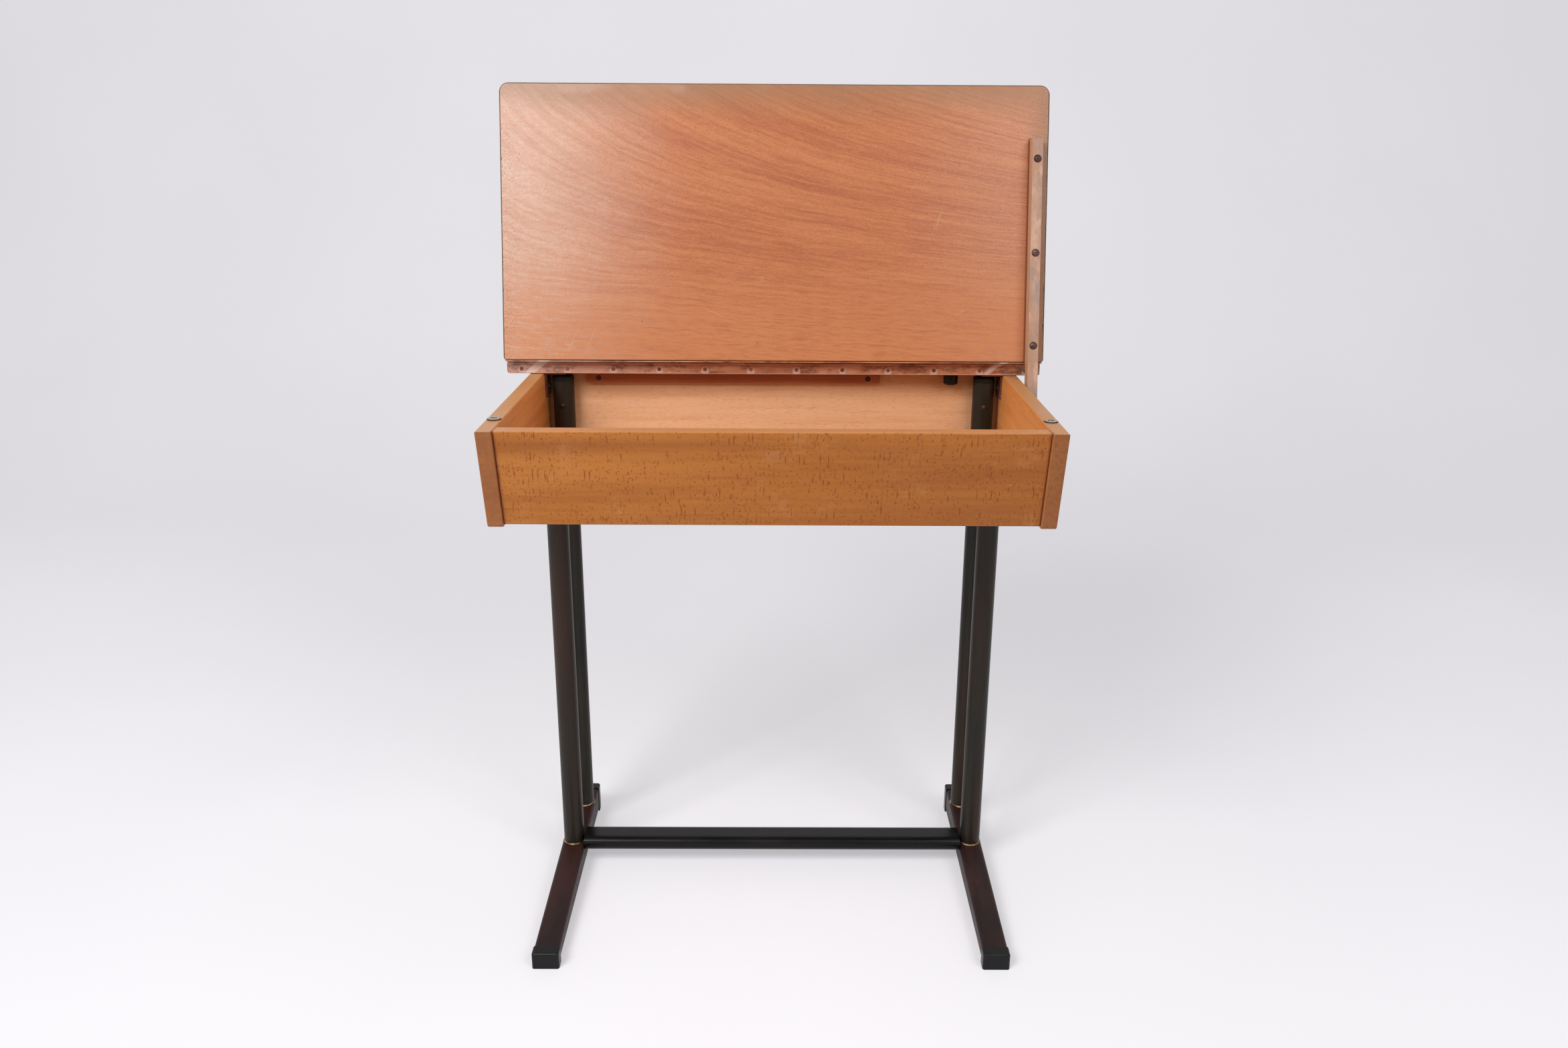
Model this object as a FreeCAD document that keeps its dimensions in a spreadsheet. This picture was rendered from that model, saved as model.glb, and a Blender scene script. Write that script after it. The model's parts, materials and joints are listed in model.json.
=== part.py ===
import FreeCAD, Part
import math
import os
import re
import Sketcher
from FreeCAD import Placement, Rotation, Vector

# School desk with a lift lid: a wooden book box under a two-piece top, on a steel tube frame.
# The rear strip of the top, the rail, is fixed. The lid in front of it swings on a piano hinge
# and is held open by a wooden bar, whose tail meets a peg on the outside of the box.
#
# Millimetres. +X is the user's right, +Y points away from the user, +Z is up. The origin is on
# the floor, under the middle of the whole desk. The lid stands open, against its peg.

# Driving dimensions, one cell each.
SIZES = dict(
    # the book box
    box_width=640,
    box_front=315,
    box_depth=100,
    side_thick=18,
    side_height=118,
    front_slant=30,
    side_toe=6,
    front_thick=18,
    front_recess=4,
    panel_lift=3,
    back_thick=18,
    floor_thick=12,
    groove_depth=5,
    board_fit=0.1,
    eased_edge=1.5,
    end_bevel=1,
    # the top: a fixed rail and the lid
    top_overhang=30,
    top_height=700,
    board=15,
    lid_depth=350,
    rail_depth=75,
    outer_corner=12,
    hinge_corner=5,
    edge_round=2.5,
    lid_lean=12.5,
    lid_lift=0.4,
    # the pen groove and the plugged pen hole in the rail
    pen_groove_length=340,
    pen_groove_width=11,
    pen_groove_depth=3,
    pen_groove_setback=48,
    plug_place=236,
    plug_setback=25,
    plug_radius=9.5,
    plug_drop=16,
    plug_flange=3,
    plug_flange_thick=1.2,
    # the batten that fastens the rail to the back panel
    batten_length=391,
    batten_gap=16.3,
    batten_height=17,
    batten_thick=10,
    batten_screw_inset=16,
    batten_screw_drop=10,
    # the piano hinge
    hinge_inset=2,
    leaf_thick=1,
    leaf_height=14,
    knuckle_radius=2.3,
    knuckle_count=29,
    knuckle_gap=0.3,
    curl_turn=300,
    pin_play=0.05,
    hinge_screw_inset=18,
    hinge_screw_count=12,
    # the lid stop
    stop_bar_clear=5.7,
    stop_bar_width=13,
    stop_bar_depth=20,
    stop_bar_reach=284,
    stop_bar_tail=64,
    stop_bar_round=3,
    tail_relief=1.5,
    stop_screw_first=23.5,
    stop_screw_end=26.5,
    stop_screw_count=3,
    stop_gap=0.3,
    peg_radius=4,
    peg_drop=42,
    peg_proud=19,
    peg_sunk=12,
    peg_bevel=0.8,
    # the lid bumpers
    bumper_radius=8,
    bumper_height=1.6,
    bumper_setback=256,
    bumper_recess=3.6,
    bumper_recess_depth=1,
    # the brackets between the box and the rail
    bracket_wide=28,
    bracket_leg=33,
    bracket_flange=28,
    bracket_thick=2.5,
    bracket_setback=8,
    bracket_corner=3,
    bracket_bend=1.5,
    bracket_screw_drop=21,
    bracket_screw_setback=26,
    rail_screw_inset=15,
    # the legs
    tube_radius=14,
    tube_wall=1.5,
    tube_inset=22,
    tube_pitch=95,
    rear_tube_setback=22.5,
    tube_top_drop=12,
    tube_cap_height=7.5,
    tube_cap_bevel=2.5,
    tube_cap_lip=0.2,
    tube_cap_plug=15,
    seat_gap=0.3,
    bolt_drop=44.5,
    bolt_spare=2,
    washer_radius=7.5,
    washer_thick=1.2,
    nut_radius=4.6,
    nut_height=4,
    plate_length=90,
    plate_width=32,
    plate_thick=4,
    plate_corner=5,
    plate_screw_pitch=64,
    # the feet and the crossbar
    foot_width=32,
    foot_front=315,
    foot_rear=71,
    foot_front_height=21,
    foot_rear_height=39,
    foot_lift=3,
    foot_wall=2,
    foot_round=4,
    cap_length=15,
    cap_wall=1,
    cap_end=3,
    cap_round=3,
    bar_width=40,
    bar_height=20,
    bar_wall=1.5,
    bar_lift=24,
    bead_radius=2.2,
    # screws and bolts: head, shank and length under the head
    hole_play=0.1,
    slot_share=0.25,
    hinge_screw_head=2.6,
    hinge_screw_shank=1.3,
    hinge_screw_length=12,
    stop_screw_head=5,
    stop_screw_rise=3,
    stop_screw_shank=2,
    stop_screw_length=30,
    bumper_screw_head=3.1,
    bumper_screw_rise=0.8,
    bumper_screw_shank=1.5,
    bumper_screw_length=12,
    bracket_screw_head=4,
    bracket_screw_rise=2.2,
    bracket_screw_shank=1.8,
    bracket_screw_length=13,
    rail_screw_head=3.8,
    rail_screw_shank=1.8,
    rail_screw_length=12,
    batten_screw_head=3.6,
    batten_screw_shank=1.8,
    batten_screw_length=24,
    plate_screw_head=3.8,
    plate_screw_rise=2,
    plate_screw_shank=2,
    plate_screw_length=12,
    bolt_head=4,
    bolt_rise=2.2,
    bolt_shank=2.5,
)

# Sizes and places that follow from the driving ones. Heights are from the floor, and setbacks
# run back from the hinge line.
DERIVED = dict(
    opening="90 + lid_lean",
    open_sin="sin(opening * 1 deg)",
    open_cos="cos(opening * 1 deg)",
    half_box="box_width / 2",
    inside="half_box - side_thick",
    half_top="half_box + top_overhang",
    rim_height="top_height - board",
    lid_under="board - lid_lift",
    lid_front="knuckle_radius + lid_depth",
    rail_back="knuckle_radius + rail_depth",
    slant="front_slant / side_height",
    front_top="front_recess - box_front",
    front_run="front_thick * sqrt(1 + slant * slant)",
    panel_bottom="rim_height - side_height + panel_lift",
    floor_top="rim_height - box_depth",
    floor_under="floor_top - floor_thick",
    floor_front="front_top + front_run + slant * box_depth - groove_depth",
    back_face="rear_tube_setback + tube_radius + seat_gap",
    back_end="back_face + back_thick",
    floor_back="back_face + groove_depth",
    hinge_length="2 * (half_top - hinge_inset)",
    knuckle_pitch="hinge_length / knuckle_count",
    leaf_inner="knuckle_radius - leaf_thick",
    pin_radius="leaf_inner - pin_play",
    notch_depth="knuckle_radius + knuckle_gap",
    leaf_screw_drop="(leaf_height + notch_depth) / 2",
    leaf_screw_span="hinge_length - 2 * hinge_screw_inset",
    leaf_screw_pitch="leaf_screw_span / (hinge_screw_count - 1)",
    stop_bar_centre="half_box + stop_bar_clear + stop_bar_width / 2",
    stop_face="lid_under + stop_bar_depth",
    stop_screw_span="stop_bar_reach - stop_screw_first - stop_screw_end",
    peg_setback="(peg_drop * open_cos - stop_face - stop_gap - peg_radius) / open_sin",
    tube_centre="inside - tube_inset",
    front_tube_setback="rear_tube_setback - tube_pitch",
    tube_top="rim_height - tube_top_drop",
    batten_left="batten_gap + tube_radius + tube_cap_lip - tube_centre",
    batten_right="batten_left + batten_length",
    bolt_height="rim_height - bolt_drop",
    bolt_seat="rear_tube_setback - tube_radius",
    bolt_length="back_end - bolt_seat + washer_thick + nut_height + bolt_spare",
    foot_slope="(foot_rear_height - foot_front_height) / (foot_front + foot_rear)",
    foot_middle="(foot_rear - foot_front) / 2",
    foot_inner="tube_centre - foot_width / 2",
    lid_reach="lid_front * sin(lid_lean * 1 deg) + lid_lift * cos(lid_lean * 1 deg)",
    rear_reach="max(max(rail_back; lid_reach); max(foot_rear; back_end))",
    hinge_line="(max(box_front; foot_front) - rear_reach) / 2",
)

TOUCH = 1e-4
AXES = "xyz"

doc = FreeCAD.newDocument("school_desk")
sheet = doc.addObject("Spreadsheet::Sheet", "sizes")
SIZE_NAME = re.compile(r"\b(" + "|".join([*SIZES, *DERIVED]) + r")\b")


def fill_sheet():
    """One row for each size: its name in column A, its value or formula in column B."""
    rows = [(name, str(number)) for name, number in SIZES.items()]
    rows += [(name, "=" + formula) for name, formula in DERIVED.items()]
    for row, (name, content) in enumerate(rows, start=1):
        sheet.set(f"A{row}", name)
        sheet.set(f"B{row}", content)
        sheet.setAlias(f"B{row}", name)
    doc.recompute()


fill_sheet()


def from_sheet(formula):
    """The formula, with each size in it read from the sheet."""
    return SIZE_NAME.sub(r"sizes.\1", str(formula))


def number(formula):
    return float(sheet.evalExpression(from_sheet(formula)))


def bind(thing, **formulas):
    """Ties properties of an object to formulas. A double underscore stands for a dot."""
    for name, formula in formulas.items():
        thing.setExpression(name.replace("__", "."), from_sheet(formula))


# ------------------------------------------------------------------------------- sketches

def new_body(name):
    return doc.addObject("PartDesign::Body", name + "_body")


def origin_feature(body, role):
    return [item for item in body.Origin.OriginFeatures if item.Role == role][0]


def new_sketch(body, role, level="0", across="0"):
    """An empty sketch parallel to an origin plane, at a level along the third axis."""
    sketch = body.newObject("Sketcher::SketchObject", "sketch")
    sketch.AttachmentSupport = [(origin_feature(body, role), "")]
    sketch.MapMode = "FlatFace"
    # the normal of the XZ plane points to -Y
    bind(sketch, AttachmentOffset__Base__x=across,
         AttachmentOffset__Base__z=f"-({level})" if role == "XZ_Plane" else level)
    return sketch


def fix_coordinate(sketch, geometry, vertex, axis, formula):
    """Holds one coordinate of a point at a formula."""
    kind = "DistanceX" if axis == "x" else "DistanceY"
    constraint = Sketcher.Constraint(kind, -1, 1, geometry, vertex, number(formula))
    index = sketch.addConstraint(constraint)
    sketch.setExpression(f"Constraints[{index}]", from_sheet(formula))


def arc_between(start, end, centre_axis, centre_at):
    """The arc that turns left from start to end, with one coordinate of its centre given."""
    middle = (start + end) / 2
    chord = end - start
    if centre_axis == "x":
        centre = Vector(centre_at, middle.y + (middle.x - centre_at) * chord.x / chord.y, 0)
    else:
        centre = Vector(middle.x + (middle.y - centre_at) * chord.y / chord.x, centre_at, 0)
    first = math.atan2(start.y - centre.y, start.x - centre.x)
    last = math.atan2(end.y - centre.y, end.x - centre.x)
    circle = Part.Circle(centre, Vector(0, 0, 1), (start - centre).Length)
    return Part.ArcOfCircle(circle, first, last if last > first else last + 2 * math.pi)


def outline(sketch, corners, arcs=None):
    """A closed outline through its corners, each a pair of formulas, listed to the left.

    The sides are straight, apart from those in arcs. There the number of a side stands with
    one coordinate of its centre, as ("x", formula) or ("y", formula).
    """
    arcs = arcs or {}
    points = [Vector(number(across), number(up), 0) for across, up in corners]
    sides = []
    for side, start in enumerate(points):
        end = points[(side + 1) % len(points)]
        if side in arcs:
            axis, formula = arcs[side]
            sides.append(sketch.addGeometry(arc_between(start, end, axis, number(formula))))
        else:
            sides.append(sketch.addGeometry(Part.LineSegment(start, end)))
    for side, geometry in enumerate(sides):
        sketch.addConstraint(Sketcher.Constraint("Coincident", sides[side - 1], 2, geometry, 1))
    for geometry, (across, up) in zip(sides, corners):
        fix_coordinate(sketch, geometry, 1, "x", across)
        fix_coordinate(sketch, geometry, 1, "y", up)
    for side, (axis, formula) in arcs.items():
        fix_coordinate(sketch, sides[side], 3, axis, formula)


def rectangle(sketch, left, right, low, high):
    outline(sketch, [(left, low), (right, low), (right, high), (left, high)])


def long_hole(sketch, across, up, length, width):
    """A slot with round ends, as long as length over all."""
    half = f"({length} - ({width})) / 2"
    left, right = f"{across} - {half}", f"{across} + {half}"
    low, high = f"{up} - ({width}) / 2", f"{up} + ({width}) / 2"
    corners = [(left, low), (right, low), (right, high), (left, high)]
    outline(sketch, corners, {1: ("x", right), 3: ("x", left)})


def circle(sketch, across, up, radius):
    centre = Vector(number(across), number(up), 0)
    geometry = sketch.addGeometry(Part.Circle(centre, Vector(0, 0, 1), number(radius)))
    fix_coordinate(sketch, geometry, 3, "x", across)
    fix_coordinate(sketch, geometry, 3, "y", up)
    index = sketch.addConstraint(Sketcher.Constraint("Radius", geometry, number(radius)))
    sketch.setExpression(f"Constraints[{index}]", from_sheet(radius))


# ------------------------------------------------------------------------------- features

def extrude(body, kind, sketch, length):
    """A Pad or a Pocket, half of it on each side of the sketch."""
    feature = body.newObject("PartDesign::" + kind, kind.lower())
    feature.Profile = sketch
    feature.SideType = "Symmetric"
    bind(feature, Length=length)
    return feature


def drill(body, role, across, up, level, radius, depth):
    """A round hole that goes as deep as depth to both sides of the level."""
    sketch = new_sketch(body, role, level)
    circle(sketch, across, up, radius)
    return extrude(body, "Pocket", sketch, f"2 * ({depth})")


def turn_about(body, kind, sketch):
    """A Revolution or a Groove about the upright axis of the sketch."""
    feature = body.newObject("PartDesign::" + kind, kind.lower())
    feature.Profile = sketch
    feature.ReferenceAxis = (sketch, ["V_Axis"])
    feature.Angle = 360
    return feature


def bore(body, role, across, level, corners):
    """A turned hole about the upright line at across, from the right half of its section."""
    sketch = new_sketch(body, role, level, across)
    outline(sketch, corners)
    return turn_about(body, "Groove", sketch)


def countersink(top, way, head, shank, depth):
    """Half the section of a hole for a countersunk screw, from its top along way, +1 or -1."""
    wide, narrow = f"{head} + hole_play", f"{shank} + hole_play"
    neck, end = f"{top} + {way} * ({head} - {shank})", f"{top} + {way} * ({depth})"
    return [("0", top), (wide, top), (narrow, neck), (narrow, end), ("0", end)]


def repeat(body, features, role, length, count):
    """A row of features along an axis of the body, as long as length from first to last."""
    pattern = body.newObject("PartDesign::LinearPattern", "row")
    pattern.Originals = features
    pattern.Direction = (origin_feature(body, role), [""])
    bind(pattern, Length=length, Occurrences=count)
    body.Tip = pattern
    return pattern


def edge_names(body, along=None, **places):
    """The edges that lie at the given places and, where it is asked, run along an axis."""
    doc.recompute()
    targets = {axis: number(formula) for axis, formula in places.items()}
    names = []
    for count, edge in enumerate(body.Tip.Shape.Edges, start=1):
        run = edge.LastParameter - edge.FirstParameter
        points = [edge.valueAt(edge.FirstParameter + share * run) for share in (0, 0.5, 1)]
        lies = all(abs(getattr(point, axis) - target) < TOUCH
                   for point in points for axis, target in targets.items())
        others = [axis for axis in AXES if axis != along]
        straight = all(abs(getattr(points[0] - points[2], axis)) < TOUCH for axis in others)
        if lies and (along is None or straight):
            names.append(f"Edge{count}")
    return names


def edge_at_middle(body, across, setback, height):
    """The edge whose middle is at the given place."""
    doc.recompute()
    target = Vector(number(across), number(setback), number(height))
    names = []
    for count, edge in enumerate(body.Tip.Shape.Edges, start=1):
        middle = edge.valueAt((edge.FirstParameter + edge.LastParameter) / 2)
        if (middle - target).Length < TOUCH:
            names.append(f"Edge{count}")
    return names


def soften(body, kind, size, names):
    """A Fillet or a Chamfer on the named edges."""
    if not names:
        raise ValueError(f"no edge of {body.Name} to soften")
    tip = body.Tip
    feature = body.newObject("PartDesign::" + kind, kind.lower())
    feature.Base = (tip, names)
    bind(feature, **{"Radius" if kind == "Fillet" else "Size": size})
    return feature


# --------------------------------------------------------------- places, copies and names

PIECES = []


def piece(thing, label):
    """Names a finished piece of the desk."""
    thing.Label = label
    PIECES.append(thing)
    return thing


def put(thing, across="0", setback="0", height="0", tilt="0"):
    """Places a piece of the fixed part, turned about X by tilt."""
    thing.Placement = Placement(Vector(), Rotation(Vector(1, 0, 0), 1))
    bind(thing, Placement__Base__x=across, Placement__Base__y=f"hinge_line + {setback}",
         Placement__Base__z=height, Placement__Rotation__Angle=tilt)
    return thing


def put_sideways(thing, across, setback, height, turn):
    """Places a turned piece with its axis along X: its head to the right, or to the left."""
    thing.Placement = Placement(Vector(), Rotation(Vector(0, 1, 0), turn))
    bind(thing, Placement__Base__x=across, Placement__Base__y=f"hinge_line + {setback}",
         Placement__Base__z=height)
    return thing


def put_on_lid(thing, across="0", setback="0", height="0", tilt="0"):
    """Places a piece by its place on the closed lid, and swings it up with the lid."""
    return put(thing, across, f"({setback}) * open_cos + ({height}) * open_sin",
               f"top_height - ({setback}) * open_sin + ({height}) * open_cos",
               f"{tilt} - opening")


def cut(base, tool, name):
    result = doc.addObject("Part::Cut", name)
    result.Base = base
    result.Tool = tool
    return result


def mirrored(thing, name):
    """The same on the other side of the desk's middle."""
    twin = doc.addObject("Part::Mirroring", name)
    twin.Source = thing
    twin.Normal = Vector(1, 0, 0)
    return twin


def group(things, label):
    """Separate solids under one name."""
    together = doc.addObject("Part::Compound", label)
    together.Links = things
    return piece(together, label)


def left_and_right(thing, stem):
    """A piece on the right, and its mirror image on the left, under two names."""
    piece(thing, stem + "_right")
    piece(mirrored(thing, stem + "_left"), stem + "_left")


def both_sides(thing, label):
    """A small piece and its mirror image under one name."""
    return group([thing, mirrored(thing, label + "_twin")], label)


# ------------------------------------------------------------------- screws and turned pieces

def turned(name, corners, arcs=None):
    """A turned piece about its own Z axis, from the right half of its section."""
    body = new_body(name)
    sketch = new_sketch(body, "XZ_Plane")
    outline(sketch, corners, arcs)
    turn_about(body, "Revolution", sketch)
    return body


def slot(body, head, top):
    """The driver slot across a screw head."""
    sketch = new_sketch(body, "YZ_Plane")
    half = f"{head} * slot_share / 2"
    rectangle(sketch, f"-{half}", half, f"{top} - {head} * slot_share", f"{top} + {head}")
    return extrude(body, "Pocket", sketch, f"3 * {head}")


def screw_sizes(kind, *sizes):
    return (f"{kind}_{size}" for size in sizes)


def round_head_screw(name, kind):
    """A screw with a domed, slotted head, and its features. Its head sits on local height 0."""
    head, rise, shank, length = screw_sizes(kind, "head", "rise", "shank", "length")
    body = turned(name, [("0", f"-{length}"), (shank, f"-{length}"), (shank, "0"), (head, "0"),
                         ("0", rise)], {3: ("x", "0")})
    return body, [body.Tip, slot(body, head, rise)]


def pan_head_screw(name, kind):
    """A small screw with a bevelled head, which sits on local height 0."""
    head, rise, shank, length = screw_sizes(kind, "head", "rise", "shank", "length")
    return turned(name, [("0", f"-{length}"), (shank, f"-{length}"), (shank, "0"), (head, "0"),
                         (f"{head} - {rise} / 2", rise), ("0", rise)])


def flat_head_screw(name, kind):
    """A small countersunk screw. The top of its head is at local height 0."""
    head, shank, length = screw_sizes(kind, "head", "shank", "length")
    return turned(name, [("0", f"-{length}"), (shank, f"-{length}"),
                         (shank, f"{shank} - {head}"), (head, "0"), ("0", "0")])


# ------------------------------------------------------------------------------ the book box

BATTEN_SCREW_FIRST = "batten_left + batten_screw_inset"
BATTEN_SCREW_SPAN = "batten_length - 2 * batten_screw_inset"


def foot_top(setback):
    """The height of the sloped top of a foot at a setback."""
    return f"(foot_front_height + foot_slope * ({setback} + foot_front))"


def side_panel(name, side):
    body = new_body(name)
    sketch = new_sketch(body, "YZ_Plane", f"{side} * (half_box - side_thick / 2)")
    outline(sketch, [("front_slant - box_front", "rim_height - side_height"),
                     ("back_end", "rim_height - side_height"),
                     ("back_end", "rim_height"), ("-box_front", "rim_height")])
    extrude(body, "Pad", sketch, "side_thick")
    toe = edge_names(body, "x", y="front_slant - box_front", z="rim_height - side_height")
    soften(body, "Fillet", "side_toe", toe)
    rims = edge_names(body, x=f"{side} * half_box") + edge_names(body, x=f"{side} * inside")
    soften(body, "Fillet", "eased_edge", rims)
    groove = new_sketch(body, "YZ_Plane", f"{side} * (inside + groove_depth / 2)")
    rectangle(groove, "floor_front - board_fit", "floor_back + board_fit",
              "floor_under - board_fit", "floor_top + board_fit")
    extrude(body, "Pocket", groove, "groove_depth")
    drill(body, "XY_Plane", f"{side} * (half_box - side_thick / 2)", "-bumper_setback",
          "rim_height", "bumper_screw_shank + hole_play", "bumper_screw_length")
    drill(body, "YZ_Plane", "bracket_screw_setback", "rim_height - bracket_screw_drop",
          f"{side} * inside", "bracket_screw_shank + hole_play", "bracket_screw_length")
    return put(body)


def make_sides():
    piece(side_panel("side_panel_left", -1), "side_panel_left")
    right = side_panel("side_panel_right", 1)
    drill(right, "YZ_Plane", "peg_setback", "top_height - peg_drop", "half_box",
          "peg_radius + hole_play", "peg_sunk")
    piece(right, "side_panel_right")


def front_face(height):
    """The setback of the front panel's sloped face at a height."""
    return f"(front_top + slant * (rim_height - ({height})))"


def make_front_panel():
    body = new_body("front_panel")
    sketch = new_sketch(body, "YZ_Plane")
    low, high = "floor_under - board_fit", "floor_top + board_fit"
    rear = {height: f"{front_face(height)} + front_run"
            for height in ("panel_bottom", low, high, "rim_height")}
    outline(sketch, [(front_face("panel_bottom"), "panel_bottom"),
                     (rear["panel_bottom"], "panel_bottom"), (rear[low], low),
                     ("floor_front - board_fit", low), ("floor_front - board_fit", high),
                     (rear[high], high), (rear["rim_height"], "rim_height"),
                     ("front_top", "rim_height")])
    extrude(body, "Pad", sketch, "2 * inside")
    middle = "(rim_height + panel_bottom) / 2"
    ends = [name for side in (-1, 1)
            for name in edge_at_middle(body, f"{side} * inside", front_face(middle), middle)]
    soften(body, "Chamfer", "end_bevel", ends)
    rims = edge_names(body, "x", z="rim_height") + edge_names(body, "x", z="panel_bottom")
    soften(body, "Fillet", "eased_edge", rims)
    piece(put(body), "front_panel")


def make_back_panel():
    body = new_body("back_panel")
    sketch = new_sketch(body, "YZ_Plane")
    low, high = "floor_under - board_fit", "floor_top + board_fit"
    outline(sketch, [("back_face", "panel_bottom"), ("back_end", "panel_bottom"),
                     ("back_end", "rim_height"), ("back_face", "rim_height"),
                     ("back_face", high), ("floor_back + board_fit", high),
                     ("floor_back + board_fit", low), ("back_face", low)])
    extrude(body, "Pad", sketch, "2 * inside")
    for side in (-1, 1):
        drill(body, "XZ_Plane", f"{side} * tube_centre", "bolt_height",
              "(back_face + back_end) / 2", "bolt_shank + hole_play", "back_thick")
    hole = drill(body, "XZ_Plane", BATTEN_SCREW_FIRST, "rim_height - batten_screw_drop",
                 "back_face", "batten_screw_shank + hole_play",
                 "batten_screw_length - batten_thick")
    repeat(body, [hole], "X_Axis", BATTEN_SCREW_SPAN, "2")
    piece(put(body), "back_panel")


def make_floor_panel():
    body = new_body("floor_panel")
    sketch = new_sketch(body, "XY_Plane", "(floor_top + floor_under) / 2")
    half = "inside + groove_depth - board_fit"
    rectangle(sketch, f"-({half})", half, "floor_front", "floor_back")
    extrude(body, "Pad", sketch, "floor_thick")
    for side in (-1, 1):
        drill(body, "XY_Plane", f"{side} * tube_centre", "rear_tube_setback",
              "(floor_top + floor_under) / 2", "tube_radius + seat_gap", "floor_thick")
        for end in (-1, 1):
            drill(body, "XY_Plane", f"{side} * tube_centre",
                  f"front_tube_setback + {end} * plate_screw_pitch / 2", "floor_under",
                  "plate_screw_shank + hole_play", "plate_screw_length - plate_thick")
    piece(put(body), "floor_panel")


# --------------------------------------------------------------------- the top and its fittings

def board_blank(name, front, back, middle, front_corner, back_corner):
    """A top board as wide as the desk, with round corners and softened rims."""
    body = new_body(name)
    sketch = new_sketch(body, "XY_Plane", middle)
    rectangle(sketch, "-half_top", "half_top", front, back)
    extrude(body, "Pad", sketch, "board")
    soften(body, "Fillet", front_corner, edge_names(body, "z", y=front))
    soften(body, "Fillet", back_corner, edge_names(body, "z", y=back))
    rims = edge_names(body, z=f"{middle} + board / 2") + edge_names(body, z=f"{middle} - board / 2")
    soften(body, "Fillet", "edge_round", rims)
    return body


def drill_for_leaf(body, setback, height):
    """The row of screw holes in the edge of a board that carries a hinge leaf."""
    hole = drill(body, "XZ_Plane", "-leaf_screw_span / 2", height, setback,
                 "hinge_screw_head - leaf_thick + hole_play", "hinge_screw_length - leaf_thick")
    repeat(body, [hole], "X_Axis", "leaf_screw_span", "hinge_screw_count")


def make_rail():
    body = board_blank("rear_rail", "knuckle_radius", "rail_back", "top_height - board / 2",
                       "hinge_corner", "outer_corner")
    groove = new_sketch(body, "XY_Plane", "top_height")
    long_hole(groove, "0", "pen_groove_setback", "pen_groove_length", "pen_groove_width")
    extrude(body, "Pocket", groove, "2 * pen_groove_depth")
    drill(body, "XY_Plane", "plug_place", "plug_setback", "top_height",
          "plug_radius + hole_play", "2 * board")
    for side in (-1, 1):
        drill(body, "XY_Plane", f"{side} * (inside - rail_screw_inset)", "bracket_screw_setback",
              "rim_height", "rail_screw_head - bracket_thick + rail_screw_shank / 2",
              "rail_screw_length - bracket_thick")
    drill_for_leaf(body, "knuckle_radius", "top_height - leaf_screw_drop")
    piece(put(body), "rear_rail")


def make_lid():
    """Drawn closed, with the hinge line as its origin: the lid runs to -Y."""
    body = board_blank("lid_panel", "-lid_front", "-knuckle_radius", "lid_lift - board / 2",
                       "outer_corner", "hinge_corner")
    hole = drill(body, "XY_Plane", "stop_bar_centre", "stop_screw_end - stop_bar_reach",
                 "-lid_under", "stop_screw_shank + hole_play", "stop_screw_length - stop_bar_depth")
    repeat(body, [hole], "Y_Axis", "stop_screw_span", "stop_screw_count")
    drill_for_leaf(body, "-knuckle_radius", "-leaf_screw_drop")
    piece(put_on_lid(body), "lid_panel")


def make_batten():
    body = new_body("rail_batten")
    sketch = new_sketch(body, "XZ_Plane", "back_face - batten_thick / 2")
    rectangle(sketch, "batten_left", "batten_right", "rim_height - batten_height", "rim_height")
    extrude(body, "Pad", sketch, "batten_thick")
    low_edge = edge_names(body, z="rim_height - batten_height", y="back_face - batten_thick")
    soften(body, "Fillet", "eased_edge", low_edge)
    section = countersink("back_face - batten_thick", 1, "batten_screw_head",
                          "batten_screw_shank", "batten_thick")
    hole = bore(body, "XY_Plane", BATTEN_SCREW_FIRST, "rim_height - batten_screw_drop", section)
    repeat(body, [hole], "X_Axis", BATTEN_SCREW_SPAN, "2")
    piece(put(body), "rail_batten")


def make_plug():
    """The plug that closes the pen hole: its flange lies on the rail."""
    stem = "plug_radius"
    flange = "plug_radius + plug_flange"
    low = "-board - plug_drop"
    body = turned("pen_hole_plug", [
        ("0", low), (f"{stem} - eased_edge", low), (stem, f"{low} + eased_edge"), (stem, "0"),
        (flange, "0"), (f"{flange} - plug_flange_thick", "plug_flange_thick"),
        ("0", "plug_flange_thick")])
    piece(put(body, "plug_place", "plug_setback", "top_height"), "pen_hole_plug")


def make_brackets():
    """An angle on each side: one leg on the side panel, the other under the rail."""
    body = new_body("angle_bracket")
    sketch = new_sketch(body, "XZ_Plane", "bracket_setback + bracket_wide / 2")
    leg, flange = "inside - bracket_thick", "rim_height - bracket_thick"
    outline(sketch, [(leg, "rim_height - bracket_leg"), ("inside", "rim_height - bracket_leg"),
                     ("inside", "rim_height"), ("inside - bracket_flange", "rim_height"),
                     ("inside - bracket_flange", flange), (leg, flange)])
    extrude(body, "Pad", sketch, "bracket_wide")
    ends = edge_names(body, "x", z="rim_height - bracket_leg")
    soften(body, "Fillet", "bracket_corner", ends)
    soften(body, "Fillet", "bracket_bend", edge_names(body, "y", x=leg, z=flange))
    drill(body, "YZ_Plane", "bracket_screw_setback", "rim_height - bracket_screw_drop", leg,
          "bracket_screw_shank + hole_play", "2 * bracket_thick")
    bore(body, "XZ_Plane", "inside - rail_screw_inset", "bracket_screw_setback",
         countersink(flange, 1, "rail_screw_head", "rail_screw_shank", "bracket_thick"))
    left_and_right(put(body), "angle_bracket")


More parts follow.
